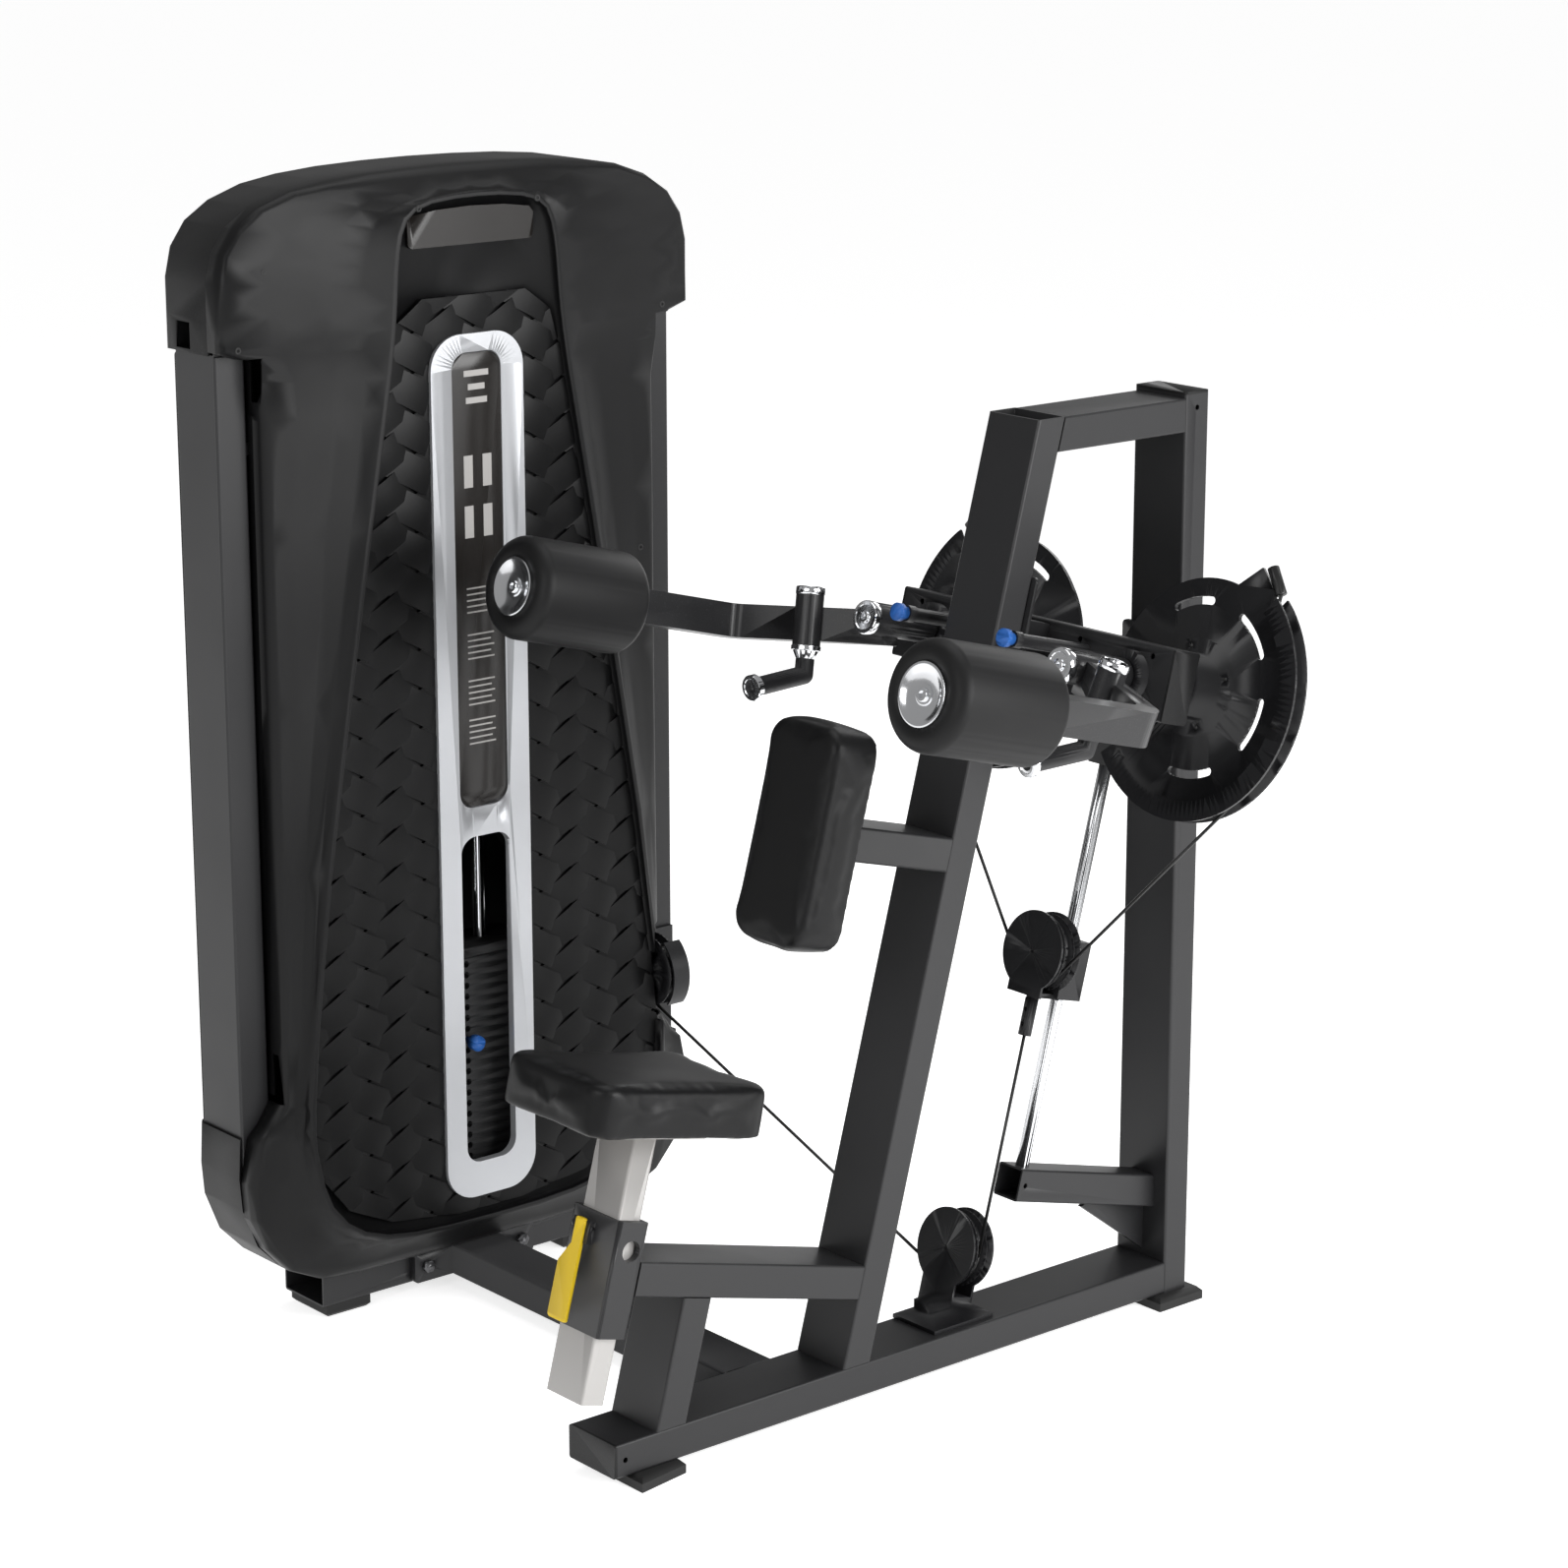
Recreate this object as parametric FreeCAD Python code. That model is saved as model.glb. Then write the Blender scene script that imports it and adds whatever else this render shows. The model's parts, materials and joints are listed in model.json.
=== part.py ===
import FreeCAD, Part
import math
import os

os.makedirs("parts", exist_ok=True)

# ---------------------------------------------------------------- dimensions (mm)
OX, OY, OZ = 168.15, -516.0, 20.0      # machine frame to row frame
LEAN = 15.0                           # lean of the working column, degrees
TUBE_X, TUBE_H, WALL = 52.0, 50.0, 3.0  # half width, height and wall of the frame tube
RAIL_L = 1063.0                       # main rail, from the front cap to the rear upright
UPRIGHT_TOP = 1388.0                  # top of the rear upright
SEAT_W0, SEAT_W1 = 259.0, 309.0       # seat beam, along the lean
CHEST_W0, CHEST_W1 = 885.0, 935.0     # chest beam, along the lean
COLUMN_V = 386.5                      # front face of the leaning column
PAD_X, PAD_V0, PAD_V1 = 77.0, 114.0, 194.5      # chest pad half width, face and back
PAD_W0, PAD_W1 = 750.0, 1070.0        # chest pad, along the lean
SEAT_X, SEAT_Z0, SEAT_Z1 = 116.0, 495.0, 568.0  # seat pad half width, underside and top
SEAT_TILT = 12.58                     # seat pad, degrees up at the front
BEAM_X = 281.6                        # half length of the pivot beam
BEAM_V0, BEAM_V1 = 511.0, 561.0       # pivot beam front and back
BEAM_W0, BEAM_W1 = 1157.5, 1261.5     # pivot beam, along the lean
PIV_X, PIV_W = 203.0, 1210.0          # arm pivot axis
PIN_X, PIN_W = 111.0, 1230.0          # spring pin axis
DROOP = 10.0                          # arm angle below level at rest
SHAFT_R, BORE_R = 20.0, 20.06         # arm shaft and its bore
ROLL_P, ROLL_R, ROLL_V0, ROLL_V1 = 236.0, 75.0, -95.0, 103.0  # roller centre, radius and ends
BAR_Q, BAR_HALF = -10.0, 16.0         # arm bar centre height and half thickness
GRIP_P, GRIP_V = 109.0, 359.0         # grip sleeve axis in the arm
GRIP_TILT = 17.0                      # grip bar below level, degrees
CAM_PITCH, CAM_LIP, CAM_FLOOR = 180.0, 193.0, 177.1  # cable line, rim and groove bottom of a cam
CABLE_R = 2.5
PUL_PITCH, PUL_R = 50.0, 57.0         # cable line and rim of a pulley
FLOAT_W, CABLE_V = 777.5, 664.0       # floating pulley height and the cable plane
BASE_X, BASE_W = -50.0, 313.0         # base pulley
TP_X, TP_Y, TP_Z = -695.0, 662.0, 424.0  # tower pulley
ROD_V, ROD_R = 716.0, 10.0            # guide rod of the float
ROD_W0, ROD_W1 = 453.8, 1064.0        # its ends, along the lean
POST_X0, POST_X1 = -833.0, -729.0     # tower tubes, outer and inner face
TOWER_Y0, TOWER_Y1 = -88.0, 727.0     # outer faces of the tower posts
FOOT_Y0, FOOT_Y1 = 47.0, 593.0        # ends of the tower base tubes
POST_Z0, POST_Z1 = 250.0, 1464.0      # ends of the tower posts
BOLT_Z, BOLT_YS = 27.0, (230.0, 410.0)  # joint plate bolts
PLATE_PITCH, PLATE_N, PLATE_Z0 = 17.2, 20, 183.0  # weight plates
LIFTED_FROM = 11                      # first plate above the selector pin
STACK_X, STACK_Y = -763.0, 320.0      # centre of the stack
STACK_ROD_Y, STACK_ROD_R = 55.0, 10.0  # guide rods either side of it
SEAM_X, BACK_X = -727.0, -845.0       # seam of the two covers and the back of the rear one
COVER_WALL = 3.5

V = FreeCAD.Vector
C, S = math.cos(math.radians(LEAN)), math.sin(math.radians(LEAN))


# ---------------------------------------------------------------- helpers
def box(x0, x1, y0, y1, z0, z1):
    return Part.makeBox(x1 - x0, y1 - y0, z1 - z0, V(x0, y0, z0))


def rod(r, p, d, h):
    return Part.makeCylinder(r, h, V(*p), V(*d))


def cone(r1, r2, p, d, h):
    return Part.makeCone(r1, r2, h, V(*p), V(*d))


def lean(s, a=LEAN):
    """(x, v, w) of a leaning column to machine x, y, z"""
    s = s.copy()
    s.rotate(V(0, 0, 0), V(1, 0, 0), -a)
    return s


def leanpt(x, v, w):
    return V(x, v * C + w * S, -v * S + w * C)


def fuse(*ss):
    ss = list(ss)
    r = ss[0].fuse(ss[1:]) if len(ss) > 1 else ss[0]
    return r.removeSplitter()


def corners(pts, r):
    """closed wire through 3-D points with corners rounded to r (number or list)"""
    n = len(pts)
    edges = []
    ends = []
    P = [V(*p) for p in pts]
    R = r if isinstance(r, (list, tuple)) else [r] * n
    for i in range(n):
        a, b, c = P[i - 1], P[i], P[(i + 1) % n]
        u, w = (a - b), (c - b)
        u.normalize()
        w.normalize()
        ang = u.getAngle(w)
        if R[i] <= 0 or abs(ang - math.pi) < 1e-3:
            ends.append((b, b, None))
            continue
        t = R[i] / math.tan(ang / 2)
        m = u + w
        m.normalize()
        mid = b + m * (R[i] / math.sin(ang / 2) - R[i])
        ends.append((b + u * t, b + w * t, mid))
    for i in range(n):
        s, e, m = ends[i]
        if m is not None:
            edges.append(Part.Arc(s, m, e).toShape())
        nxt = ends[(i + 1) % n][0]
        if (nxt - e).Length > 1e-6:
            edges.append(Part.makeLine(e, nxt))
    return Part.Wire(edges)


def slab(pts, r, d):
    return Part.Face(corners(pts, r)).extrude(V(*d))


def rbox(x0, x1, y0, y1, z0, z1, r, axis):
    """box with its four edges along axis rounded"""
    if axis == "x":
        return slab([(x0, y0, z0), (x0, y1, z0), (x0, y1, z1), (x0, y0, z1)], r, (x1 - x0, 0, 0))
    if axis == "y":
        return slab([(x0, y0, z0), (x1, y0, z0), (x1, y0, z1), (x0, y0, z1)], r, (0, y1 - y0, 0))
    return slab([(x0, y0, z0), (x1, y0, z0), (x1, y1, z0), (x0, y1, z0)], r, (0, 0, z1 - z0))


def tube(x0, x1, y0, y1, z0, z1, axis, t=WALL, r=4.0):
    o = rbox(x0, x1, y0, y1, z0, z1, r, axis)
    dx, dy, dz = (0 if axis == "x" else t), (0 if axis == "y" else t), (0 if axis == "z" else t)
    e = {"x": (1, 0, 0), "y": (0, 1, 0), "z": (0, 0, 1)}[axis]
    i = rbox(x0 + dx - e[0], x1 - dx + e[0], y0 + dy - e[1], y1 - dy + e[1],
             z0 + dz - e[2], z1 - dz + e[2], max(r - t, 1.0), axis)
    return o.cut(i)


def mirror(s):
    return s.mirror(V(0, 0, 0), V(1, 0, 0))


def arc_tube(centre, xdir, ydir, R, a0, a1, r):
    """round bar of radius r bent on radius R in the plane xdir, ydir, angles in degrees"""
    n = V(*xdir).cross(V(*ydir))
    a = math.radians(a0)
    rad = V(*xdir) * math.cos(a) + V(*ydir) * math.sin(a)
    tan = V(*ydir) * math.cos(a) - V(*xdir) * math.sin(a)
    c = V(*centre) + rad * R
    f = Part.Face(Part.Wire(Part.makeCircle(r, c, tan)))
    return f.revolve(V(*centre), n, a1 - a0)


def bar(p, q, r):
    d = V(*q) - V(*p)
    return Part.makeCylinder(r, d.Length, V(*p), d)


def pulley(centre, axis, width=22.0, bore=8.06):
    """grooved wheel, groove bottom just clear of the cable"""
    c = V(*centre)
    a = V(*axis)
    g = PUL_PITCH - CABLE_R - 0.9
    h = width / 2
    pts = [(bore, -h), (PUL_R - 1, -h), (PUL_R, -h + 1), (PUL_R, -h + 2.6), (g, -CABLE_R - 0.9),
           (g, CABLE_R + 0.9), (PUL_R, h - 2.6), (PUL_R, h - 1), (PUL_R - 1, h), (bore, h)]
    w = Part.makePolygon([V(x, 0, z) for x, z in pts] + [V(pts[0][0], 0, pts[0][1])])
    s = Part.Face(w).revolve(V(0, 0, 0), V(0, 0, 1), 360)
    for side in (-1, 1):                       # lightening recess in each face
        z = side * h
        ring = Part.makeCylinder(40, 6, V(0, 0, min(z, z - side * 6))).cut(
            Part.makeCylinder(18, 6, V(0, 0, min(z, z - side * 6))))
        for k in range(8):
            spoke = Part.makeBox(60, 5, 6, V(0, -2.5, min(z, z - side * 6)))
            ring = ring.cut(spoke.rotate(V(0, 0, 0), V(0, 0, 1), k * 45))
        s = s.cut(ring)
    s.Placement = FreeCAD.Placement(c, FreeCAD.Rotation(V(0, 0, 1), a))
    return s


def loft(wires):
    return Part.makeLoft(wires, True, True)


parts = {}

# ---------------------------------------------------------------- main frame
hole = rod(4, (40, 18, 25), (1, 0, 0), 20)
parts["main_rail"] = tube(-TUBE_X, TUBE_X, 4, RAIL_L, 0, TUBE_H, "y").cut(hole)
hole = rod(4, (40, RAIL_L + 24, UPRIGHT_TOP - 20), (1, 0, 0), 20)
upright = tube(-TUBE_X, TUBE_X, RAIL_L, RAIL_L + 48, 0, UPRIGHT_TOP, "z").cut(hole)
column = lean(tube(-TUBE_X, TUBE_X, COLUMN_V, COLUMN_V + TUBE_H, 100, 1700, "z"))
parts["inclined_upright"] = column.common(box(-200, 200, 0, 1200, TUBE_H, UPRIGHT_TOP - 5))
top = tube(-TUBE_X, TUBE_X, 700, RAIL_L, UPRIGHT_TOP - 55, UPRIGHT_TOP - 5, "y")
top = top.cut(lean(box(-200, 200, -500, COLUMN_V + TUBE_H, 0, 2500)))
parts["rear_upright"] = Part.makeCompound([upright, top])
leg = tube(-TUBE_X, TUBE_X, 58, 109, -60, SEAT_W0, "z")
leg = lean(leg).common(box(-200, 200, -200, 600, TUBE_H, 600))
seat_beam = lean(tube(-TUBE_X, TUBE_X, -31, COLUMN_V, SEAT_W0, SEAT_W1, "y"))
parts["seat_frame"] = Part.makeCompound([seat_beam, leg])
chest_tube = tube(-TUBE_X, TUBE_X, PAD_V1 + 5, COLUMN_V, CHEST_W0, CHEST_W1, "y")
chest_plate = rbox(-60, 60, PAD_V1, PAD_V1 + 5, PAD_W0 + 40, PAD_W1 - 40, 12, "y")
parts["chest_beam"] = lean(fuse(chest_tube, chest_plate))

pad = rbox(-PAD_X, PAD_X, PAD_V0, PAD_V1, PAD_W0, PAD_W1, 38, "y")
front = [e for e in pad.Edges if abs(e.BoundBox.YMin - PAD_V0) < 0.01 and abs(e.BoundBox.YMax - PAD_V0) < 0.01]
parts["chest_pad"] = lean(pad.makeFillet(13, front))

# guide rod bracket, square to the rod, welded to the rear upright, with its gusset
arm_tube = tube(-25, 25, 694, 1100, ROD_W0 - TUBE_H, ROD_W0, "y")
arm_tube = lean(arm_tube).cut(box(-200, 200, RAIL_L, 1500, -200, 900))
gusset_ring = [V(-4, RAIL_L, 61), V(-4, RAIL_L, 190), V(-4, 930, 160), V(-4, RAIL_L, 61)]
gusset = Part.Face(Part.makePolygon(gusset_ring)).extrude(V(8, 0, 0))
gusset = gusset.cut(lean(box(-200, 200, 600, 1300, ROD_W0 - TUBE_H, 600)))
hole = lean(rod(4, (15, 706, 429), (1, 0, 0), 20))
parts["rod_bracket"] = fuse(arm_tube, gusset).cut(hole)
parts["guide_rod"] = lean(rod(ROD_R, (0, ROD_V, ROD_W0), (0, 0, 1), ROD_W1 - ROD_W0))

# longitudinal support that carries the pivot beam, in two pieces either side of it
column_back = COLUMN_V + TUBE_H
front_piece = fuse(rbox(-60, 60, column_back, column_back + 6, 1146, 1318, 8, "y"),
                   box(-30, 30, column_back + 6, BEAM_V0, 1162, 1256))
rear_piece = lean(fuse(rbox(-25, 25, BEAM_V1, 830, 1165, 1255, 4, "y"),
                       rbox(-21, 21, 697, 737, ROD_W1, 1165, 4, "z")))
rear_piece = rear_piece.cut(box(-200, 200, RAIL_L - 6, 1400, 500, 1500))
rear_piece = fuse(rear_piece, rbox(-62, 62, RAIL_L - 6, RAIL_L, 850, 1040, 8, "y"))
parts["pivot_support"] = Part.makeCompound([lean(front_piece), rear_piece])

BEARING_R = 38.0
beam = tube(-BEAM_X + 4, BEAM_X - 4, BEAM_V0, BEAM_V1, BEAM_W0, BEAM_W1, "x")
for sx in (-1, 1):
    beam = beam.cut(rod(BEARING_R, (sx * PIV_X, 480, PIV_W), (0, 1, 0), 120))
    for hx in (95, 240):
        beam = beam.cut(rod(4.5, (sx * hx, BEAM_V0 - 6, 1245), (0, 1, 0), 12))
barrels = []
for sx in (-1, 1):
    b = rod(10, (sx * PIN_X, 362, PIN_W), (0, 1, 0), BEAM_V0 - 362)
    b = fuse(b, rod(12, (sx * PIN_X, 362, PIN_W), (0, 1, 0), 14))
    b = b.cut(rod(6.4, (sx * PIN_X, 350, PIN_W), (0, 1, 0), 150))
    barrels.append(b)
parts["pivot_beam"] = lean(fuse(beam, *barrels))
bearing = rod(BEARING_R, (PIV_X, BEAM_V0 - 11, PIV_W), (0, 1, 0), 99)
bearing = fuse(bearing, rod(46, (PIV_X, BEAM_V1, PIV_W), (0, 1, 0), 10))
bearing = bearing.cut(rod(BORE_R, (PIV_X, BEAM_V0 - 21, PIV_W), (0, 1, 0), 130))
parts["pivot_bearings"] = lean(Part.makeCompound([bearing, mirror(bearing)]))

# ---------------------------------------------------------------- arms
def arm_place(s):
    """arm coordinates (out from the pivot, along the axis, up) to leaning x, v, w"""
    s = s.copy()
    s.rotate(V(0, 0, 0), V(0, 1, 0), DROOP)
    s.translate(V(PIV_X, 0, PIV_W))
    return s


HUB_V = 425.0                                # where the bar's centre line meets the hub axis
BAR_OUT, BAR_IN = 250.0, 218.0               # faces of the bar beside the roller
BAR_END, BAR_LOW = 103.5, BAR_Q - 25         # end of the bar at the roller and its lower face
inward = V(-234, 103, 0)                     # direction of the leg that runs in to the hub
inward.normalize()
across = V(-inward.y, inward.x, 0)
rear_start = V(0, HUB_V, 0) - across * BAR_HALF
front_start = V(0, HUB_V, 0) + across * BAR_HALF


def meet(start, px):
    """the point at x = px on the line from start along the inward leg"""
    return start + inward * ((px - start.x) / inward.x)


outer_corner = meet(rear_start, BAR_OUT)
inner_corner = meet(front_start, BAR_IN)
ring = [(BAR_IN, BAR_END, BAR_LOW), (BAR_OUT, BAR_END, BAR_LOW), (BAR_OUT, outer_corner.y, BAR_LOW),
        (0, rear_start.y, BAR_LOW), (0, front_start.y, BAR_LOW), (BAR_IN, inner_corner.y, BAR_LOW)]
armbar = slab(ring, [0, 0, 48, 0, 0, 18], (0, 0, 50))
hub = rod(24, (0, 382, 0), (0, 1, 0), 112)
shaft = rod(SHAFT_R, (0, 400, 0), (0, 1, 0), 276)
sleeve_bore = rod(15.5, (GRIP_P, GRIP_V, -44), (0, 0, 1), 77)
sleeve = rod(21, (GRIP_P, GRIP_V, -43), (0, 0, 1), 75).cut(sleeve_bore)
axle = rod(12, (ROLL_P, -80, BAR_Q), (0, 1, 0), 190)
flange = rod(30, (ROLL_P, 106, BAR_Q), (0, 1, 0), 7)
arm = fuse(armbar, hub, flange.cut(box(252, 300, 90, 120, -80, 80)))
arm = arm.cut(sleeve_bore)
arm = fuse(arm, sleeve, shaft, axle)
parts["arm_right"] = lean(arm_place(arm))
parts["arm_left"] = lean(mirror(arm_place(arm)))

# bright trim on each arm: hub cap, sleeve cap, roller dish
hubcap = rod(24.5, (0, 369, 0), (0, 1, 0), 13).cut(rod(5, (0, 368, 0), (0, 1, 0), 8))
sleeve_cap = rod(21.5, (GRIP_P, GRIP_V, 32), (0, 0, 1), 12)
dish = Part.makeSphere(62, V(ROLL_P, -47.5, BAR_Q)).common(rod(36, (ROLL_P, -112, BAR_Q), (0, 1, 0), 30))
dish = dish.common(box(0, 400, -120, -96, -100, 100)).cut(rod(12, (ROLL_P, -120, BAR_Q), (0, 1, 0), 12))
dish = fuse(dish, rod(12, (ROLL_P, -99, BAR_Q), (0, 1, 0), 18.9))
trim = Part.makeCompound([hubcap, sleeve_cap, dish])
parts["arm_trim_right"] = lean(arm_place(trim))
parts["arm_trim_left"] = lean(mirror(arm_place(trim)))

roll = rod(ROLL_R, (ROLL_P, ROLL_V0, BAR_Q), (0, 1, 0), ROLL_V1 - ROLL_V0)
for end, round_r in ((ROLL_V0, 20), (ROLL_V1, 12)):
    rim = [e for e in roll.Edges if abs(e.BoundBox.YMin - end) < 0.01 and abs(e.BoundBox.YMax - end) < 0.01]
    roll = roll.makeFillet(round_r, rim)
roll = roll.cut(rod(12.06, (ROLL_P, -130, BAR_Q), (0, 1, 0), 260))
roll = roll.cut(rod(40, (ROLL_P, -110, BAR_Q), (0, 1, 0), 20))
parts["roller_right"] = lean(arm_place(roll))
parts["roller_left"] = lean(mirror(arm_place(roll)))

# swivelling hand grip in the sleeve
tilt = math.radians(GRIP_TILT)
along = V(0, -math.cos(tilt), -math.sin(tilt))
elbow = V(GRIP_P, GRIP_V, -86)
GRIP_R, GRIP_L = 14.0, 96.0
stem = rod(15.44, (GRIP_P, GRIP_V, -41), (0, 0, 1), 70)
lip = rod(22, (GRIP_P, GRIP_V, -50), (0, 0, 1), 6.4)
reducer = cone(13.5, 19, (GRIP_P, GRIP_V, -62), (0, 0, 1), 12.5)
end_cap = Part.makeCylinder(19, 9, elbow + along * GRIP_L, along)
end_cap = end_cap.cut(Part.makeCylinder(5, 6, elbow + along * (GRIP_L + 4), along))
grip = fuse(stem, lip, reducer, rod(GRIP_R, (GRIP_P, GRIP_V, -86), (0, 0, 1), 28),
            Part.makeSphere(GRIP_R, elbow), Part.makeCylinder(GRIP_R, GRIP_L, elbow, along), end_cap)
parts["grip_right"] = lean(arm_place(grip))
parts["grip_left"] = lean(mirror(arm_place(grip)))

# cams: plate with arc slots and a part-round grooved rim
def pol(r, a, v=0.0):
    a = math.radians(a)
    return (r * math.cos(a), v, r * math.sin(a))


def arcwire(points):
    edges = []
    for kind, *a in points:
        if kind == "a":
            edges.append(Part.Arc(V(*a[0]), V(*a[1]), V(*a[2])).toShape())
        else:
            edges.append(Part.makeLine(V(*a[0]), V(*a[1])))
    return Part.Wire(edges)


CAM_V = 652.0                                # front face of the cam plate
outline = arcwire([
    ("a", pol(CAM_FLOOR, 50, CAM_V), pol(CAM_FLOOR, -45, CAM_V), pol(CAM_FLOOR, -140, CAM_V)),
    ("l", pol(CAM_FLOOR, -140, CAM_V), pol(166, -146, CAM_V)),
    ("a", pol(166, -146, CAM_V), pol(166, 180, CAM_V), pol(158, 140, CAM_V)),
    ("a", pol(158, 140, CAM_V), pol(157, 108, CAM_V), pol(160, 76, CAM_V)),
    ("l", pol(160, 76, CAM_V), pol(201, 67.5, CAM_V)),
    ("l", pol(201, 67.5, CAM_V), pol(190, 56, CAM_V)),
    ("l", pol(190, 56, CAM_V), pol(CAM_FLOOR, 50, CAM_V))])
cam = Part.Face(outline).extrude(V(0, 6, 0))


def sector(r0, r1, a0, a1, va, vb):
    mid = (a0 + a1) / 2
    w = arcwire([("a", pol(r1, a0, va), pol(r1, mid, va), pol(r1, a1, va)),
                 ("l", pol(r1, a1, va), pol(r0, a1, va)),
                 ("a", pol(r0, a1, va), pol(r0, mid, va), pol(r0, a0, va)),
                 ("l", pol(r0, a0, va), pol(r1, a0, va))])
    return Part.Face(w).extrude(V(0, vb - va, 0))


rim = fuse(sector(163, CAM_FLOOR, 50, -140, 646, 664), sector(163, CAM_LIP, 50, -140, 642, 646),
           sector(163, CAM_LIP, 50, -140, 664, 668))
cam = fuse(cam, rim)
EX = -40.9                                   # angle at which the cable leaves the rim
for a0, a1 in ((122, 92), (62, 31), (0, -32), (-64, -97)):
    cam = cam.cut(sector(119, 131, a0, a1, 630, 680))
    for a in (a0, a1):
        cam = cam.cut(rod(6, pol(125, a, 630), (0, 1, 0), 50))
cam = fuse(cam, rod(50, (0, 600, 0), (0, 1, 0), 46), rod(71, (0, 645, 0), (0, 1, 0), 8),
           rod(34, (0, 655, 0), (0, 1, 0), 13))
for a in (20, 110, 200, 290):
    cam = cam.cut(rod(4, pol(60, a, 640), (0, 1, 0), 30))
cam = cam.cut(rod(SHAFT_R, (0, 590, 0), (0, 1, 0), 100))
ferrule_a = V(94, 655, 188)
ferrule_b = V(119, 655, 154)
ferrule_way = ferrule_b - ferrule_a
ferrule = Part.makeCylinder(8.5, ferrule_way.Length, ferrule_a, ferrule_way)
seat_hole = Part.makeCylinder(9.0, ferrule_way.Length + 14, ferrule_a - ferrule_way * 0.02, ferrule_way)
cam = cam.cut(seat_hole)


def cam_place(s):
    s = s.copy()
    s.translate(V(PIV_X, 0, PIV_W))
    return lean(s)


parts["cam_right"] = cam_place(cam)
cam_cable = Part.makeCompound([ferrule, bar(tuple(ferrule_b), pol(CAM_PITCH, 49, 655), CABLE_R),
                               arc_tube((0, 655, 0), (1, 0, 0), (0, 0, 1), CAM_PITCH, 49, EX, CABLE_R)])
parts["cam_cable_right"] = cam_place(cam_cable)


def mirror_cam(s):
    s = s.copy()
    s.translate(V(PIV_X, 0, PIV_W))
    return lean(mirror(s))


parts["cam_left"] = mirror_cam(cam)
parts["cam_cable_left"] = mirror_cam(cam_cable)

# ---------------------------------------------------------------- spring pins
pin = fuse(rod(6.0, (PIN_X, 360, PIN_W), (0, 1, 0), 132), rod(9, (PIN_X, 351, PIN_W), (0, 1, 0), 10.5),
           rod(13, (PIN_X, 343, PIN_W), (0, 1, 0), 9))
parts["pop_pin_right"] = lean(pin)
parts["pop_pin_left"] = lean(mirror(pin))

# ---------------------------------------------------------------- seat
def tilted(s):
    """seat coordinates to machine coordinates"""
    return lean(s, SEAT_TILT)


sleeve = rbox(-TUBE_X, TUBE_X, -83, -31, 200, 363.5, 5, "z")
sleeve = sleeve.cut(rbox(-40.4, 40.4, -77.4, -36.6, 190, 380, 3, "z"))
sleeve = sleeve.cut(rod(15, (38, -54, 323), (1, 0, 0), 20))
sleeve = fuse(sleeve, box(-34, -26, -92.5, -83, 318, 350), box(-6, 2, -92.5, -83, 318, 350))
post = lean(tube(-40, 40, -77, -37, 103, 480, "z", 3.0, 4.0))
plate = tilted(rbox(-70, 70, -130, 50, SEAT_Z0 - 8, SEAT_Z0, 12, "z"))
plug = lean(rbox(-38, 38, -75, -39, 470, 500, 3, "z"))
plug = plug.cut(tilted(box(-300, 300, -400, 400, SEAT_Z0 - 5, 700)))
parts["seat_post"] = fuse(post, plug, plate)
cushion = rbox(-SEAT_X, SEAT_X, -191, 123, SEAT_Z0, SEAT_Z1, 36, "z")
upper = [e for e in cushion.Edges
         if abs(e.BoundBox.ZMin - SEAT_Z1) < 0.01 and abs(e.BoundBox.ZMax - SEAT_Z1) < 0.01]
parts["seat_pad"] = tilted(cushion.makeFillet(15, upper))
LEVER_V, LEVER_W = -88.0, 340.0              # lever hinge axis
lever = slab([(-25.5, -96, 352), (-6.5, -96, 352), (-6.5, -96, 205), (-46, -96, 205), (-46, -96, 284),
              (-25.5, -96, 314)], [4, 4, 4, 6, 6, 0], (0, 5, 0))
lever = fuse(lever, rod(4.8, (-25.5, LEVER_V, LEVER_W), (1, 0, 0), 19),
             box(-25.5, -6.5, -92, LEVER_V, LEVER_W - 6, LEVER_W + 6))
lever = lever.cut(rod(3.05, (-30, LEVER_V, LEVER_W), (1, 0, 0), 30))
sleeve = sleeve.cut(rod(3.0, (-36, LEVER_V, LEVER_W), (1, 0, 0), 40))
lever_pin = fuse(rod(3.0, (-35, LEVER_V, LEVER_W), (1, 0, 0), 38),
                 rod(5, (-37, LEVER_V, LEVER_W), (1, 0, 0), 3))
parts["seat_lever"] = lean(lever)
parts["seat_sleeve"] = lean(Part.makeCompound([sleeve, lever_pin]))

# ---------------------------------------------------------------- floating pulley
CHEEK_R = 60.0                               # round end of the pulley cheeks


def float_plate(va, vb):
    return fuse(rod(CHEEK_R, (0, va, FLOAT_W), (0, 1, 0), vb - va), box(-34, 34, va, vb, 712, 745))


fb = fuse(float_plate(643, 647), float_plate(681, 685), box(-25, 25, 647, 681, 712, 719),
          rbox(-25, 25, 685, 741, 712, 800, 4, "z"), rod(8, (0, 647, FLOAT_W), (0, 1, 0), 34),
          rod(9, (0, CABLE_V, 706), (0, 0, 1), 6.5), rod(10, (0, CABLE_V, 651), (0, 0, 1), 56))
fb = fb.cut(rod(ROD_R + 0.35, (0, ROD_V, 690), (0, 0, 1), 130))
for w in (690, 668):
    fb = fb.cut(rod(3.2, (0, CABLE_V - 12, w), (0, 1, 0), 8))
fb = fb.cut(rod(4, (0, 642, FLOAT_W), (0, 1, 0), 4))
parts["float_block"] = lean(fb)
PULLEY_AX = (0, C, -S)


def lv3(x, v, w):
    """a leaning point as a plain machine x, y, z"""
    q = leanpt(x, v, w)
    return (q.x, q.y, q.z)


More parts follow.
